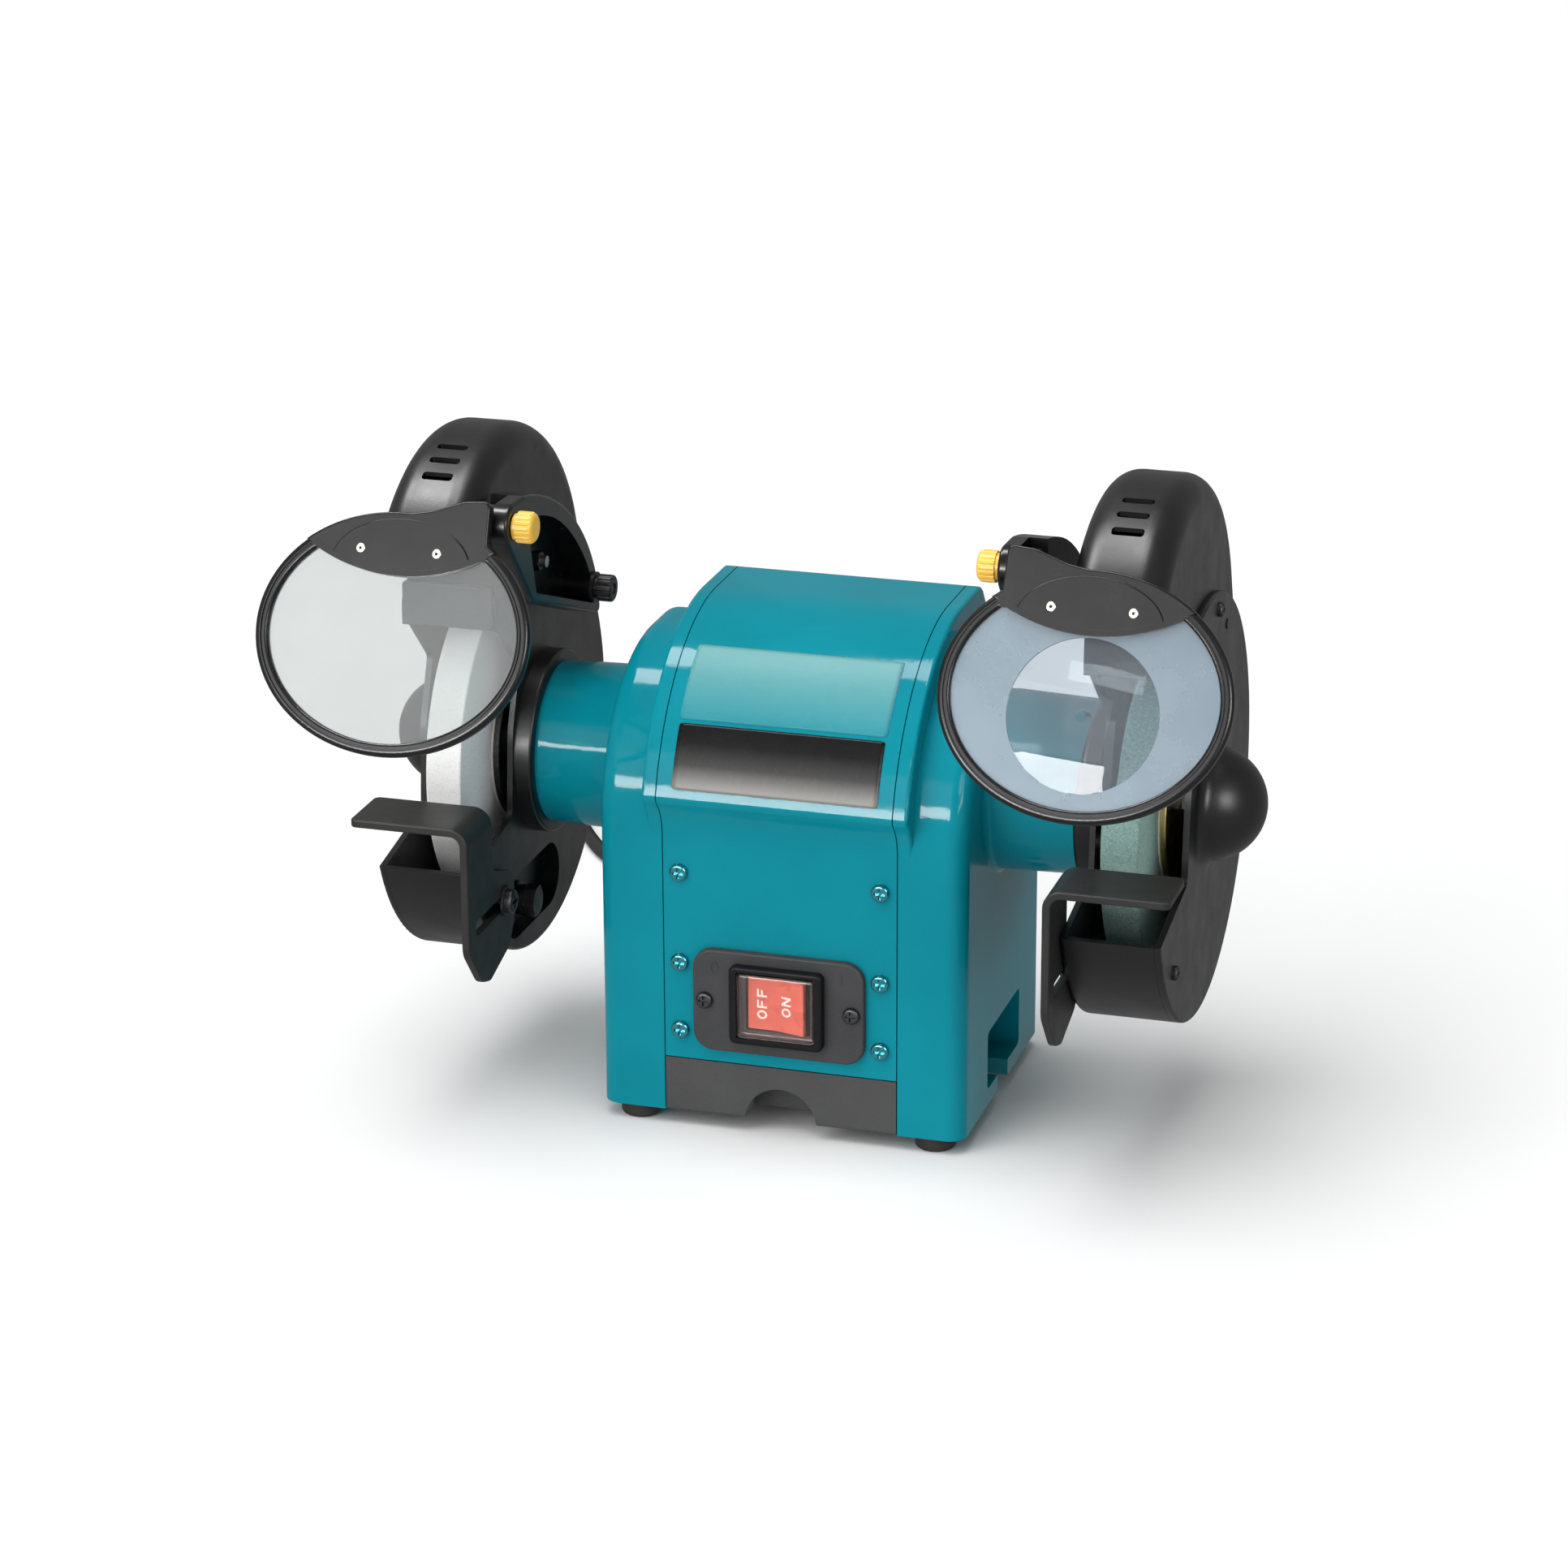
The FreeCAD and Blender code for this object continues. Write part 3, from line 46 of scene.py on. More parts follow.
SHIFT = 0.035765          # the model's y shift, as in the part's source
AXIS_Z = 0.1485
# the long arc of the motor cover's front: centre (y, z) and radius, millimetres
ARC_Y, ARC_Z, ARC_R = 12.3, 130.1, 92.4


def at(x, y, z):
    """A point given in millimetres with the spindle at y = 0."""
    return Vector((x / 1000, y / 1000 + SHIFT, z / 1000))


# ---------------------------------------------------------------- camera
AZ, EL, ROLL = math.radians(16.9), math.radians(19.67), math.radians(-0.27)
fwd = Vector((-math.sin(AZ) * math.cos(EL), math.cos(AZ) * math.cos(EL), -math.sin(EL)))
right = Vector((math.cos(AZ), math.sin(AZ), 0.0))
up = right.cross(fwd)
r2 = right * math.cos(ROLL) + up * math.sin(ROLL)
u2 = up * math.cos(ROLL) - right * math.sin(ROLL)
cam_data = bpy.data.cameras.new("camera")
cam = bpy.data.objects.new("camera", cam_data)
scene.collection.objects.link(cam)
cam_data.sensor_width = 36.0
cam_data.lens = 36.0 * 5775.55 / 1932.0
cam_data.clip_start, cam_data.clip_end = 0.05, 60.0
m = Matrix((
    (r2.x, u2.x, -fwd.x, 0.0),
    (r2.y, u2.y, -fwd.y, 0.0),
    (r2.z, u2.z, -fwd.z, 0.0),
    (0.0, 0.0, 0.0, 1.0),
))
m.translation = at(546.04, -1857.43, 831.95)
cam.matrix_world = m
scene.camera = cam


# ---------------------------------------------------------------- material helpers
def new_mat(name):
    mat = bpy.data.materials.new(name)
    mat.use_nodes = True
    nt = mat.node_tree
    nt.nodes.clear()
    out = nt.nodes.new("ShaderNodeOutputMaterial")
    b = nt.nodes.new("ShaderNodeBsdfPrincipled")
    nt.links.new(b.outputs["BSDF"], out.inputs["Surface"])
    return mat, nt, b


def coords(nt, stretch=None):
    tc = nt.nodes.new("ShaderNodeTexCoord")
    if stretch is None:
        return tc.outputs["Object"]
    mp = nt.nodes.new("ShaderNodeMapping")
    mp.inputs["Scale"].default_value = stretch
    nt.links.new(tc.outputs["Object"], mp.inputs["Vector"])
    return mp.outputs["Vector"]


def noise(nt, vec, scale, detail=3.0, rough=0.55, distortion=0.0):
    n = nt.nodes.new("ShaderNodeTexNoise")
    n.inputs["Scale"].default_value = scale
    n.inputs["Detail"].default_value = detail
    n.inputs["Roughness"].default_value = rough
    n.inputs["Distortion"].default_value = distortion
    nt.links.new(vec, n.inputs["Vector"])
    return n.outputs["Fac"]


def cells(nt, vec, scale, feature="F1", out="Distance"):
    v = nt.nodes.new("ShaderNodeTexVoronoi")
    v.feature = feature
    v.inputs["Scale"].default_value = scale
    nt.links.new(vec, v.inputs["Vector"])
    return v.outputs[out]


def ramp(nt, fac, stops):
    r = nt.nodes.new("ShaderNodeValToRGB")
    el = r.color_ramp.elements
    while len(el) < len(stops):
        el.new(0.5)
    for e, (p, c) in zip(el, stops):
        e.position = p
        e.color = (*c, 1.0)
    nt.links.new(fac, r.inputs["Fac"])
    return r.outputs["Color"]


def spread(nt, fac, lo, hi, f0=0.3, f1=0.7):
    r = nt.nodes.new("ShaderNodeMapRange")
    r.inputs["From Min"].default_value = f0
    r.inputs["From Max"].default_value = f1
    r.inputs["To Min"].default_value = lo
    r.inputs["To Max"].default_value = hi
    nt.links.new(fac, r.inputs["Value"])
    return r.outputs["Result"]


def mix(nt, fac, a, b, mode="MIX"):
    n = nt.nodes.new("ShaderNodeMix")
    n.data_type = "RGBA"
    n.blend_type = mode
    if isinstance(fac, float):
        n.inputs["Factor"].default_value = fac
    else:
        nt.links.new(fac, n.inputs["Factor"])
    for key, v in (("A", a), ("B", b)):
        s = [i for i in n.inputs if i.name == key and i.type == "RGBA"][0]
        if isinstance(v, tuple):
            s.default_value = (*v, 1.0)
        else:
            nt.links.new(v, s)
    return [o for o in n.outputs if o.type == "RGBA"][0]


def math_node(nt, op, a, b):
    n = nt.nodes.new("ShaderNodeMath")
    n.operation = op
    for i, v in enumerate((a, b)):
        if isinstance(v, (int, float)):
            n.inputs[i].default_value = v
        else:
            nt.links.new(v, n.inputs[i])
    return n.outputs["Value"]


def bump(nt, b, height, strength, dist, prev=None):
    n = nt.nodes.new("ShaderNodeBump")
    n.inputs["Strength"].default_value = strength
    n.inputs["Distance"].default_value = dist
    nt.links.new(height, n.inputs["Height"])
    if prev is not None:
        nt.links.new(prev, n.inputs["Normal"])
    nt.links.new(n.outputs["Normal"], b.inputs["Normal"])
    return n.outputs["Normal"]


def split(nt, vec):
    s = nt.nodes.new("ShaderNodeSeparateXYZ")
    nt.links.new(vec, s.inputs["Vector"])
    return s.outputs


# ---------------------------------------------------------------- materials
def enamel(name, dark, light, r0=0.16, r1=0.24, spec=0.2):
    """Gloss enamel on a casting: slow colour drift, orange peel and a faint dust film."""
    mat, nt, b = new_mat(name)
    v = coords(nt)
    drift = noise(nt, v, 16.0, 2.0)
    col = ramp(nt, drift, [(0.35, dark), (0.65, light)])
    speck = cells(nt, v, 950.0)
    col = mix(nt, spread(nt, speck, 0.10, 0.0, 0.0, 0.22), col, tuple(c * 1.35 + 0.004 for c in light))
    nt.links.new(col, b.inputs["Base Color"])
    film = noise(nt, v, 70.0, 5.0, 0.62)
    nt.links.new(spread(nt, film, r0, r1), b.inputs["Roughness"])
    b.inputs["Specular IOR Level"].default_value = spec
    peel = noise(nt, v, 320.0, 2.0, 0.5)
    p = bump(nt, b, peel, 0.05, 0.0006)
    fine = noise(nt, v, 1600.0, 2.0, 0.5)
    bump(nt, b, fine, 0.02, 0.0002, p)
    return mat


def powder(name, dark, light, r0, r1, scale=1500.0, strength=0.18, coat=0.0, scuff=None, spec=0.4):
    """Powder coat or grained moulding: fine pebble in the surface, uneven sheen."""
    mat, nt, b = new_mat(name)
    v = coords(nt)
    cloud = noise(nt, v, 28.0, 4.0, 0.6)
    col = ramp(nt, cloud, [(0.3, dark), (0.7, light)])
    pebble = cells(nt, v, scale, "SMOOTH_F1")
    col = mix(nt, spread(nt, pebble, 0.3, 0.0, 0.1, 0.6), col, tuple(c * 1.3 for c in light))
    if scuff is not None:
        marks = noise(nt, coords(nt, (1.0, 9.0, 1.0)), 120.0, 6.0, 0.75, 0.4)
        col = mix(nt, spread(nt, marks, 0.0, 0.5, 0.66, 0.8), col, scuff)
    nt.links.new(col, b.inputs["Base Color"])
    sheen = noise(nt, v, 60.0, 4.0, 0.6)
    nt.links.new(spread(nt, sheen, r0, r1), b.inputs["Roughness"])
    b.inputs["Specular IOR Level"].default_value = spec
    b.inputs["Coat Weight"].default_value = coat
    b.inputs["Coat Roughness"].default_value = 0.18
    h = math_node(nt, "ADD", pebble, noise(nt, v, scale * 0.5, 3.0))
    bump(nt, b, h, strength, 0.00025)
    return mat


def metal(name, dark, light, r0, r1, brush=(1.0, 1.0, 1.0), scale=900.0, strength=0.06):
    """Bare or plated steel with tool marks along one direction."""
    mat, nt, b = new_mat(name)
    v = coords(nt, brush)
    lines = noise(nt, v, scale, 4.0, 0.65)
    nt.links.new(ramp(nt, lines, [(0.3, dark), (0.7, light)]), b.inputs["Base Color"])
    b.inputs["Metallic"].default_value = 1.0
    stain = noise(nt, coords(nt), 90.0, 4.0, 0.6)
    nt.links.new(spread(nt, stain, r0, r1), b.inputs["Roughness"])
    bump(nt, b, lines, strength, 0.0002)
    return mat


def turned(name, dark, light, r0, r1):
    """Plated washer or flange with fine rings from the lathe about the spindle."""
    mat, nt, b = new_mat(name)
    v = coords(nt)
    o = split(nt, v)
    dy = math_node(nt, "SUBTRACT", o["Y"], SHIFT)
    dz = math_node(nt, "SUBTRACT", o["Z"], AXIS_Z)
    rr = math_node(nt, "SQRT", math_node(nt, "ADD", math_node(nt, "MULTIPLY", dy, dy), math_node(nt, "MULTIPLY", dz, dz)), 0.0)
    rings = math_node(nt, "SINE", math_node(nt, "MULTIPLY", rr, 9000.0), 0.0)
    wob = noise(nt, v, 130.0, 4.0)
    col = ramp(nt, wob, [(0.3, dark), (0.7, light)])
    nt.links.new(col, b.inputs["Base Color"])
    b.inputs["Metallic"].default_value = 1.0
    nt.links.new(spread(nt, wob, r0, r1), b.inputs["Roughness"])
    bump(nt, b, rings, 0.05, 0.0002)
    return mat


def grit(name, base, pale, deep, scale=1700.0):
    """Vitrified abrasive: grains of two shades in a bond, open pores darkened with painted shade, dressed face."""
    mat, nt, b = new_mat(name)
    v = coords(nt)
    g = cells(nt, v, scale, "F1", "Color")
    tone = split(nt, g)["X"]
    col = ramp(nt, tone, [(0.0, deep), (0.25, base), (0.75, base), (1.0, pale)])
    cloud = noise(nt, v, 45.0, 4.0)
    col = mix(nt, spread(nt, cloud, 0.0, 0.35), col, tuple(c * 0.88 for c in base))
    pores = noise(nt, v, scale * 0.8, 3.0, 0.7)
    # the pores are darkened in colour: painted shade inside the open holes
    col = mix(nt, spread(nt, pores, 0.45, 0.0, 0.30, 0.42), col, tuple(c * 0.55 for c in deep))
    nt.links.new(col, b.inputs["Base Color"])
    b.inputs["Roughness"].default_value = 0.86
    b.inputs["Specular IOR Level"].default_value = 0.3
    h = math_node(nt, "ADD", cells(nt, v, scale), math_node(nt, "MULTIPLY", pores, 0.8))
    bump(nt, b, h, 0.45, 0.0004)
    return mat


def gloss(name, dark, light, r0, r1, coat=0.2, sub=0.0):
    """Injection-moulded plastic with flow streaks and a very fine spark-eroded grain."""
    mat, nt, b = new_mat(name)
    v = coords(nt)
    flow = noise(nt, coords(nt, (1.0, 1.0, 3.0)), 60.0, 4.0, 0.55, 0.3)
    nt.links.new(ramp(nt, flow, [(0.3, dark), (0.7, light)]), b.inputs["Base Color"])
    nt.links.new(spread(nt, noise(nt, v, 120.0, 3.0), r0, r1), b.inputs["Roughness"])
    b.inputs["Coat Weight"].default_value = coat
    b.inputs["Coat Roughness"].default_value = 0.1
    if sub:
        b.inputs["Subsurface Weight"].default_value = sub
        b.inputs["Subsurface Radius"].default_value = (0.003, 0.001, 0.001)
        b.inputs["Subsurface Scale"].default_value = 0.5
    bump(nt, b, noise(nt, v, 2400.0, 2.0), 0.06, 0.0002)
    return mat


def clear(name, tint, trans, r0, r1, ior=1.49, speck=0.0):
    """Clear or tinted sheet: a slight haze of wiping marks and dust in the surface."""
    mat, nt, b = new_mat(name)
    v = coords(nt)
    haze = noise(nt, v, 42.0, 5.0, 0.62)
    nt.links.new(ramp(nt, haze, [(0.3, tuple(c * 0.96 for c in tint)), (0.7, tint)]), b.inputs["Base Color"])
    b.inputs["Transmission Weight"].default_value = trans
    b.inputs["IOR"].default_value = ior
    nt.links.new(spread(nt, haze, r0, r1), b.inputs["Roughness"])
    if speck:
        bump(nt, b, noise(nt, v, 1500.0, 2.0), speck, 0.0002)
    return mat


M = {}
M["teal_paint"] = enamel("teal_paint", (0.002, 0.215, 0.275), (0.003, 0.240, 0.305), 0.05, 0.10, 0.13)
M["dark_base"] = powder("dark_base", (0.050, 0.050, 0.051), (0.060, 0.060, 0.061), 0.45, 0.58, 1500.0, 0.14, spec=0.3)
M["foot_rubber"] = powder("foot_rubber", (0.012, 0.009, 0.008), (0.020, 0.016, 0.014), 0.6, 0.8, 1100.0, 0.25)
M["zinc_screws"] = metal("zinc_screws", (0.42, 0.43, 0.44), (0.58, 0.58, 0.57), 0.28, 0.45)
M["switch_plastic"] = powder("switch_plastic", (0.044, 0.044, 0.046), (0.054, 0.054, 0.056), 0.40, 0.52, 2100.0, 0.14, spec=0.16)
M["black_screws"] = metal("black_screws", (0.05, 0.05, 0.052), (0.10, 0.10, 0.102), 0.34, 0.5)
M["boot_clear"] = clear("boot_clear", (0.80, 0.70, 0.68), 1.0, 0.08, 0.16, 1.42, 0.02)
M["rocker_red"] = gloss("rocker_red", (0.48, 0.105, 0.070), (0.54, 0.125, 0.085), 0.24, 0.36, 0.1, 0.12)
M["lamination_steel"] = metal("lamination_steel", (0.16, 0.16, 0.17), (0.27, 0.27, 0.28), 0.45, 0.6, (40.0, 1.0, 1.0), 60.0, 0.3)
M["winding_copper"] = metal("winding_copper", (0.36, 0.13, 0.05), (0.62, 0.27, 0.11), 0.3, 0.45, (30.0, 1.0, 1.0), 60.0, 0.4)
M["capacitor_can"] = gloss("capacitor_can", (0.60, 0.60, 0.58), (0.72, 0.72, 0.70), 0.25, 0.38)
M["bare_steel"] = turned("bare_steel", (0.45, 0.45, 0.46), (0.62, 0.62, 0.62), 0.24, 0.4)
M["guard_black"] = powder("guard_black", (0.0042, 0.0042, 0.0046), (0.0058, 0.0058, 0.0062), 0.30, 0.40, 1300.0, 0.06, spec=0.42)
M["arm_plastic"] = powder("arm_plastic", (0.0052, 0.0053, 0.0060), (0.0068, 0.0069, 0.0076), 0.20, 0.29, 2000.0, 0.05, spec=0.36)
M["nut_plastic"] = powder("nut_plastic", (0.004, 0.004, 0.0045), (0.006, 0.006, 0.0065), 0.3, 0.42, 2000.0, 0.08)
M["white_wheel"] = grit("white_wheel", (0.93, 0.93, 0.92), (0.97, 0.97, 0.96), (0.85, 0.85, 0.84))
M["green_wheel"] = grit("green_wheel", (0.25, 0.40, 0.36), (0.38, 0.53, 0.49), (0.16, 0.28, 0.26))
M["yellow_zinc"] = turned("yellow_zinc", (0.56, 0.42, 0.16), (0.78, 0.64, 0.30), 0.26, 0.42)
M["rest_steel"] = powder("rest_steel", (0.0170, 0.0164, 0.0160), (0.0220, 0.0213, 0.0205), 0.38, 0.52, 1500.0, 0.12, 0.0, (0.024, 0.023, 0.022), 0.3)
M["arrestor_black"] = powder("arrestor_black", (0.008, 0.008, 0.009), (0.013, 0.013, 0.014), 0.35, 0.5)
M["clear_lens"] = clear("clear_lens", (0.56, 0.59, 0.585), 0.95, 0.01, 0.03)
M["tinted_lens"] = clear("tinted_lens", (0.25, 0.335, 0.40), 0.48, 0.22, 0.32)
M["magnifier_glass"] = clear("magnifier_glass", (0.55, 0.61, 0.66), 0.93, 0.01, 0.03, 1.30)
M["rivet_brass"] = metal("rivet_brass", (0.70, 0.68, 0.58), (0.80, 0.78, 0.68), 0.30, 0.42)
M["knob_yellow"] = gloss("knob_yellow", (0.92, 0.52, 0.045), (0.97, 0.60, 0.075), 0.32, 0.44, 0.1, 0.08)
M["cord_rubber"] = powder("cord_rubber", (0.010, 0.010, 0.010), (0.017, 0.017, 0.017), 0.42, 0.58, 1400.0, 0.2)
M["plug_plastic"] = powder("plug_plastic", (0.011, 0.011, 0.012), (0.017, 0.017, 0.018), 0.38, 0.5, 1700.0, 0.15)
M["pin_brass"] = metal("pin_brass", (0.60, 0.55, 0.42), (0.78, 0.73, 0.60), 0.2, 0.32)
M["tie_plastic"] = gloss("tie_plastic", (0.014, 0.014, 0.015), (0.022, 0.022, 0.023), 0.3, 0.42)

# the raised bezel of the switch plate is darker than the plate
nt = M["switch_plastic"].node_tree
b = [n for n in nt.nodes if n.type == "BSDF_PRINCIPLED"][0]
plain = b.inputs["Base Color"].links[0].from_socket
raised = math_node(nt, "LESS_THAN", split(nt, coords(nt))["Y"], SHIFT - 0.0716)
nt.links.new(mix(nt, raised, plain, (0.006, 0.006, 0.007)), b.inputs["Base Color"])

# plated steel screw heads; their teal tint is a painted reflection of the surrounding teal paint
M["screws_with_painted_teal_reflection"] = metal("screws_with_painted_teal_reflection", (0.070, 0.34, 0.41), (0.12, 0.44, 0.51), 0.14, 0.24, (1.0, 1.0, 1.0), 1400.0, 0.05)

paper, nt, b = new_mat("blotter_paper")
v = coords(nt)
fib = noise(nt, coords(nt, (1.0, 3.0, 1.0)), 700.0, 6.0, 0.7, 0.6)
nt.links.new(ramp(nt, fib, [(0.3, (0.70, 0.68, 0.60)), (0.7, (0.84, 0.82, 0.76))]), b.inputs["Base Color"])
b.inputs["Roughness"].default_value = 0.9
bump(nt, b, fib, 0.2, 0.0002)
M["blotter_paper"] = paper

slot_of = {s["node"]: s["material_slot"] for s in frame["record"]["subparts"]}
for name, o in nodes.items():
    o.data.materials.clear()
    o.data.materials.append(M[slot_of[name]])
nodes["cover_screws"].data.materials[0] = M["screws_with_painted_teal_reflection"]
# thin clear sheets let the light through to what lies behind them
for name in ("left_shield_lens", "right_shield_lens", "right_magnifier", "switch_boot"):
    nodes[name].visible_shadow = False


# ---------------------------------------------------------------- mains lead
CORD_D = 0.007
COIL_C, COIL_R = (-180.0, 345.0), (38.5, 45.5)
Z1, Z2, Z3, Z4 = 4.7, 11.7, 18.7, 25.7
route = [
    (-25.0, 103.0, 20.0), (-25.2, 127.0, 19.2), (-29.0, 152.0, 11.5), (-42.0, 178.0, 4.2), (-66.0, 197.0, 3.6),
    (-96.0, 206.5, 3.6), (-128.0, 208.5, 3.6), (-158.0, 213.0, 3.6), (-182.0, 231.0, 3.6), (-202.0, 259.0, 3.6),
    (-218.0, 289.0, 3.6), (-224.8, 318.0, 4.0),
]
# the coil, as (turned angle, radius, height): each strand leaves a layer before the next one needs its place
RI, RO = COIL_R
keys = [
    (0, RO, Z1), (300, RO, Z1), (355, RI, Z1), (360 + 283, RI, Z1), (360 + 321, RI, Z2), (720 + 233, RI, Z2),
    (720 + 288, RO, Z2), (1080 + 180, RO, Z2), (1080 + 219, RO, Z3), (1080 + 273, RI, Z3), (1440 + 200, RI, Z3),
    (1440 + 240, RI, Z4), (1440 + 260, RI, Z4), (1440 + 314, RO, Z4), (1800 + 0, RO, Z3), (1800 + 180, RO, Z3),
]


def coil_at(t):
    for (t0, ra, za), (t1, rb, zb) in zip(keys[:-1], keys[1:]):
        if t0 <= t <= t1:
            k = (t - t0) / (t1 - t0)
            k = k * k * (3 - 2 * k)
            return ra + (rb - ra) * k, za + (zb - za) * k
    return keys[-1][1:]


t = 0.0
while t < 1980.1:
    r, z = coil_at(t)
    r /= math.cos(math.radians(9.0))     # the spline runs a little inside its points
    a = math.radians(180.0 - t)
    route.append((COIL_C[0] + r * math.cos(a), COIL_C[1] + r * math.sin(a), z))
    t += 18.0
route.append((COIL_C[0] + RO, 333.0, Z3))
route.append((COIL_C[0] + RO, 325.5, Z3))

cu = bpy.data.curves.new("mains_lead", "CURVE")
cu.dimensions = "3D"
sp = cu.splines.new("NURBS")
sp.points.add(len(route) - 1)
for p, q in zip(sp.points, route):
    p.co = (*at(*q), 1.0)
sp.order_u = 3
sp.use_endpoint_u = True
sp.resolution_u = 8
cu.bevel_depth = CORD_D / 2
cu.bevel_resolution = 6
cu.use_fill_caps = True
lead = bpy.data.objects.new("mains_lead", cu)
scene.collection.objects.link(lead)
cu.materials.append(M["cord_rubber"])
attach(lead, "machine")
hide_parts("power_cord", "cord_coil")


# ---------------------------------------------------------------- label fields on the barrel
def barrel_patch(name, x0, x1, a0, a1, lift, mat, corner=1.2):
    """Thin closed sheet lying on the round front of the body, with rounded corners."""
    bm = bmesh.new()
    nx, na = 40, 24
    grid = {}
    for side, h in ((1, lift), (0, -0.05)):
        for i in range(nx + 1):
            for j in range(na + 1):
                x = x0 + (x1 - x0) * i / nx
                a = a0 + (a1 - a0) * j / na
                # pull the corners in on an arc
                arc = math.radians(a1 - a0) * ARC_R
                u, w = min(x - x0, x1 - x), min((a - a0), (a1 - a)) / (a1 - a0) * arc
                if u < corner and w < corner:
                    du, dw = corner - u, corner - w
                    d = max(du, dw)
                    e = math.hypot(du, dw)
                    if e > 1e-9:
                        k = d / e
                        nu, nw = corner - du * k, corner - dw * k
                        x = x0 + nu if x - x0 < x1 - x else x1 - nu
                        sa = nw / arc * (a1 - a0)
                        a = a0 + sa if a - a0 < a1 - a else a1 - sa
                r = ARC_R + h
                ar = math.radians(a)
                grid[side, i, j] = bm.verts.new(at(x, ARC_Y - r * math.cos(ar), ARC_Z + r * math.sin(ar)))
    for i in range(nx):
        for j in range(na):
            bm.faces.new([grid[1, i, j], grid[1, i + 1, j], grid[1, i + 1, j + 1], grid[1, i, j + 1]])
            bm.faces.new([grid[0, i, j], grid[0, i, j + 1], grid[0, i + 1, j + 1], grid[0, i + 1, j]])
    for i in range(nx):
        bm.faces.new([grid[0, i, 0], grid[0, i + 1, 0], grid[1, i + 1, 0], grid[1, i, 0]])
        bm.faces.new([grid[1, i, na], grid[1, i + 1, na], grid[0, i + 1, na], grid[0, i, na]])
    for j in range(na):
        bm.faces.new([grid[1, 0, j], grid[1, 0, j + 1], grid[0, 0, j + 1], grid[0, 0, j]])
        bm.faces.new([grid[0, nx, j], grid[0, nx, j + 1], grid[1, nx, j + 1], grid[1, nx, j]])
    bmesh.ops.recalc_face_normals(bm, faces=bm.faces)
    me = bpy.data.meshes.new(name)
    bm.to_mesh(me)
    bm.free()
    for p in me.polygons:
        p.use_smooth = False
    o = bpy.data.objects.new(name, me)
    scene.collection.objects.link(o)
    me.materials.append(mat)
    for p in me.polygons:
        p.use_smooth = p.area > 1e-6
    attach(o, "machine")
    return o


plate_mat, nt, b = new_mat("nameplate")
v = coords(nt)
ink_dark = ramp(nt, noise(nt, v, 60.0, 4.0), [(0.3, (0.0045, 0.0045, 0.0050)), (0.7, (0.0060, 0.0060, 0.0065))])
rise = spread(nt, split(nt, v)["Z"], 0.0, 1.0, 0.1585, 0.1850)
# the plate's base colour pales towards its lower edge: partly a printed gradient, partly a painted reflection of a
# bright gleam along the bottom of the plate
pale_print_and_painted_glint = ramp(nt, rise, [(0.0, (0.50, 0.48, 0.45)), (0.16, (0.36, 0.35, 0.33)), (0.40, (0.085, 0.084, 0.082)), (0.72, (0.012, 0.012, 0.012)), (1.0, (0.005, 0.005, 0.005))])
nt.links.new(mix(nt, 0.5, ink_dark, pale_print_and_painted_glint, "ADD"), b.inputs["Base Color"])
nt.links.new(spread(nt, noise(nt, v, 140.0, 4.0), 0.24, 0.30), b.inputs["Roughness"])
b.inputs["Specular IOR Level"].default_value = 0.13
bump(nt, b, noise(nt, coords(nt, (1.0, 12.0, 12.0)), 260.0, 4.0), 0.02, 0.0002)
nameplate = barrel_patch("nameplate", -45.5, 45.5, 18.2, 36.1, 0.25, plate_mat)

# label field above it, its base colour fading from pale at the upper edge to teal lower down
panel_mat = enamel("panel_teal", (0.010, 0.235, 0.290), (0.012, 0.255, 0.315), 0.24, 0.32, 0.05)
nt = panel_mat.node_tree
b = [n for n in nt.nodes if n.type == "BSDF_PRINCIPLED"][0]
plain = b.inputs["Base Color"].links[0].from_socket
height = split(nt, coords(nt))["Z"]
pale = spread(nt, height, 0.06, 0.92, 0.184, 0.2105)
nt.links.new(mix(nt, pale, plain, (0.165, 0.385, 0.390)), b.inputs["Base Color"])
panel = barrel_patch("front_panel", -46.0, 46.0, 37.2, 60.5, 0.12, panel_mat)


# ---------------------------------------------------------------- small marks
def flat_mesh(name, polys, mat, place, body, height):
    """Closed low relief from outlines in (u, w); place maps (u, w, h) to the row frame."""
    bm = bmesh.new()
    for outer, inner in polys:
        n = len(outer)
        rows = []
        for h in (0.0, height):
            rows.append(([bm.verts.new(place(*p, h)) for p in outer], [bm.verts.new(place(*p, h)) for p in inner] if inner else None))
        (b0, i0), (b1, i1) = rows
        for k in range(n):
            q = (k + 1) % n
            bm.faces.new([b0[k], b0[q], b1[q], b1[k]])
            if inner:
                bm.faces.new([i0[q], i0[k], i1[k], i1[q]])
                bm.faces.new([b1[k], b1[q], i1[q], i1[k]])
                bm.faces.new([b0[q], b0[k], i0[k], i0[q]])
        if not inner:
            bm.faces.new(b1)
            bm.faces.new(list(reversed(b0)))
    bmesh.ops.recalc_face_normals(bm, faces=bm.faces)
    me = bpy.data.meshes.new(name)
    bm.to_mesh(me)
    bm.free()
    me.materials.append(mat)
    o = bpy.data.objects.new(name, me)
    scene.collection.objects.link(o)
    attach(o, body)
    return o


def ring(cu_, cw, r_out_u, r_out_w, wall, n=32):
    outer = [(cu_ + r_out_u * math.cos(2 * math.pi * k / n), cw + r_out_w * math.sin(2 * math.pi * k / n)) for k in range(n)]
    inner = [(cu_ + (r_out_u - wall) * math.cos(2 * math.pi * k / n), cw + (r_out_w - wall) * math.sin(2 * math.pi * k / n)) for k in range(n)]
    return outer, inner


def bar(u0, u1, w0, w1):
    return [(u0, w0), (u1, w0), (u1, w1), (u0, w1)], None


ROCK_PIVOT = (0.0, -66.0)
ROCK_REST = math.radians(-8.0)


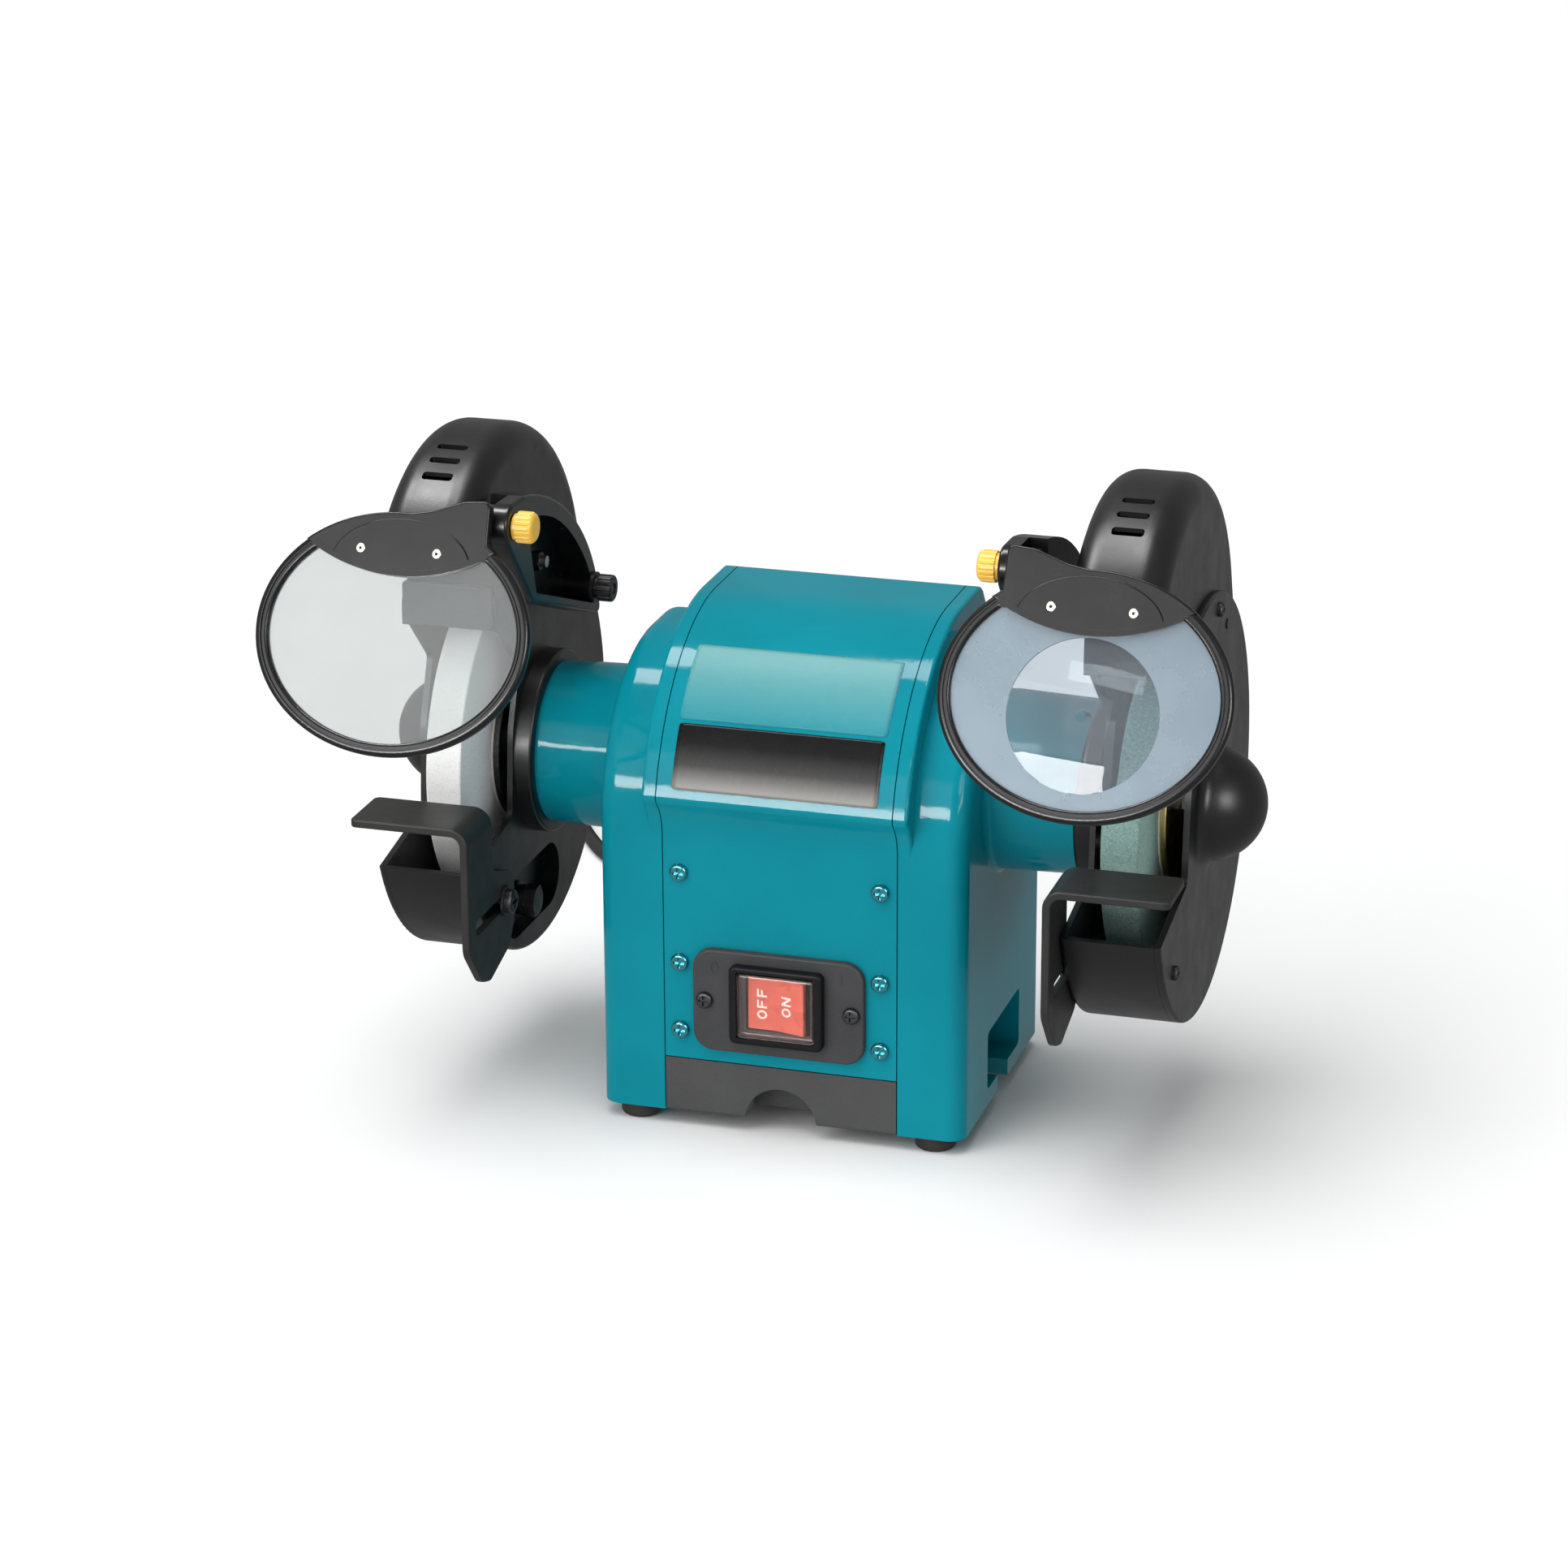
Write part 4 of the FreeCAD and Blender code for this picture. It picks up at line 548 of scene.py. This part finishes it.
def rocker_face(side):
    """Maps marks to one half of the rocker's hollow front; u runs out from the middle line."""
    p0, p1 = (0.0, -70.3), (13.2 * side, -71.8)
    d = Vector((p1[0] - p0[0], p1[1] - p0[1])).normalized()
    nrm = Vector((d.y * side, -d.x * side))
    if nrm.y > 0:
        nrm = -nrm

    def place(u, w, h):
        x = p0[0] + d.x * u + nrm.x * (h + 0.02)
        y = p0[1] + d.y * u + nrm.y * (h + 0.02)
        c, s = math.cos(ROCK_REST), math.sin(ROCK_REST)
        x, y = x - ROCK_PIVOT[0], y - ROCK_PIVOT[1]
        return at(ROCK_PIVOT[0] + c * x - s * y, ROCK_PIVOT[1] + s * x + c * y, w)

    return place


ink, nt, b = new_mat("mark_white")
v = coords(nt)
nt.links.new(ramp(nt, noise(nt, v, 900.0, 4.0), [(0.3, (0.70, 0.66, 0.63)), (0.7, (0.82, 0.79, 0.76))]), b.inputs["Base Color"])
b.inputs["Roughness"].default_value = 0.5


def letter(kind, s0, foot, rise, wide=4.0, tall=4.5, pen=0.8):
    """Outline of one letter read upwards: it starts at height s0 and stands from u = foot."""
    if kind == "O":
        n = 40
        turn = [2 * math.pi * k / n for k in range(n)]
        out = [(wide / 2 * (1 + math.cos(a)), tall / 2 * (1 + math.sin(a))) for a in turn]
        hole = [(wide / 2 + (wide / 2 - pen) * math.cos(a), tall / 2 + (tall / 2 - pen) * math.sin(a)) for a in turn]
    elif kind == "F":
        out = [(0, 0), (pen, 0), (pen, 0.42 * tall), (0.8 * wide, 0.42 * tall), (0.8 * wide, 0.42 * tall + pen),
               (pen, 0.42 * tall + pen), (pen, tall - pen), (0.9 * wide, tall - pen), (0.9 * wide, tall), (0, tall)]
        hole = None
    else:
        out = [(0, 0), (pen, 0), (pen, 0.68 * tall), (wide - 1.1 * pen, 0), (wide, 0), (wide, tall), (wide - pen, tall),
               (wide - pen, 0.32 * tall), (1.1 * pen, tall), (0, tall)]
        hole = None
    to = lambda pts: [(foot + rise * q, s0 + p) for p, q in pts]
    return to(out), to(hole) if hole else None


def word(text, middle, foot, rise):
    step = 5.1
    start = middle - (step * (len(text) - 1) + 4.0) / 2
    return [letter(c, start + step * k, foot, rise) for k, c in enumerate(text)]


off_mark = flat_mesh("switch_mark_off", word("OFF", 62.75, 4.4, 1.0), ink, rocker_face(-1), "rocker", 0.08)
on_mark = flat_mesh("switch_mark_on", word("ON", 62.75, 7.0, -1.0), ink, rocker_face(1), "rocker", 0.08)
relief = powder("mark_relief", (0.030, 0.031, 0.033), (0.040, 0.041, 0.043), 0.35, 0.45, 2100.0, 0.1)
face = lambda u, w, h: at(u, -71.0 - h, w)
plate_off = flat_mesh("plate_mark_off", [ring(-28.5, 77.5, 1.9, 2.4, 0.5)], relief, face, "machine", 0.25)
plate_on = flat_mesh("plate_mark_on", [bar(28.2, 28.8, 75.2, 79.8)], relief, face, "machine", 0.25)

# ---------------------------------------------------------------- floor and light
floor_mat, nt, b = new_mat("floor")
v = coords(nt)
nt.links.new(ramp(nt, noise(nt, v, 3.0, 2.0), [(0.3, (0.86, 0.86, 0.86)), (0.7, (0.88, 0.88, 0.88))]), b.inputs["Base Color"])
b.inputs["Roughness"].default_value = 0.7
bm = bmesh.new()
bmesh.ops.create_grid(bm, x_segments=8, y_segments=8, size=7.0)
me = bpy.data.meshes.new("floor")
bm.to_mesh(me)
bm.free()
me.materials.append(floor_mat)
floor = bpy.data.objects.new("floor", me)
scene.collection.objects.link(floor)
floor.visible_glossy = False

world = bpy.data.worlds.new("studio")
world.use_nodes = True
scene.world = world
bg = world.node_tree.nodes["Background"]
wt = world.node_tree
around = wt.nodes.new("ShaderNodeTexCoord").outputs["Generated"]
wt.links.new(ramp(wt, spread(wt, split(wt, around)["Y"], 0.0, 1.0, -0.6, 0.9), [(0.0, (1.0, 1.0, 1.0)), (1.0, (0.62, 0.62, 0.62))]), bg.inputs["Color"])
bg.inputs["Strength"].default_value = 0.46
scene.view_settings.view_transform = "Standard"


def softbox(name, loc, target, size_x, size_y, radiance, tint=(1.0, 1.0, 1.0)):
    """Rectangular lamp that is only seen as a gleam in glossy faces."""
    d = bpy.data.lights.new(name, "AREA")
    d.shape = "RECTANGLE"
    d.size, d.size_y = size_x, size_y
    d.energy = radiance * math.pi * size_x * size_y
    d.color = tint
    o = bpy.data.objects.new(name, d)
    scene.collection.objects.link(o)
    o.location = loc
    o.rotation_mode = "QUATERNION"
    o.rotation_quaternion = (Vector(target) - Vector(loc)).to_track_quat("-Z", "Y")
    o.visible_camera = False
    o.visible_diffuse = False
    return o


def sky(name, towards, strength, angle):
    """Wide even light from one direction."""
    d = bpy.data.lights.new(name, "SUN")
    d.energy = strength
    d.angle = math.radians(angle)
    o = bpy.data.objects.new(name, d)
    scene.collection.objects.link(o)
    o.visible_glossy = False
    o.rotation_mode = "QUATERNION"
    o.rotation_quaternion = (-Vector(towards)).to_track_quat("-Z", "Y")
    return o


sky("overhead", (-0.15, -0.18, 0.97), 2.25, 50.0)
sky("front_left", (-0.50, -0.74, 0.45), 1.2, 50.0)
aim = (-0.05, 0.0, 0.155)
softbox("front_strip", (-0.66, -2.20, 0.66), aim, 1.25, 0.30, 38.0)
softbox("front_fill", (-0.66, -2.05, 1.16), aim, 1.25, 0.70, 1.9)
softbox("sheen_left", (-0.76, 0.10, 1.62), (-0.15, -0.02, 0.28), 0.34, 0.66, 26.0)
softbox("sheen_right", (-0.08, 0.10, 1.65), (0.15, -0.02, 0.28), 0.34, 0.66, 18.0)
softbox("side_glow", (1.55, -1.20, 0.90), (0.17, 0.0, 0.155), 0.8, 0.8, 11.0)
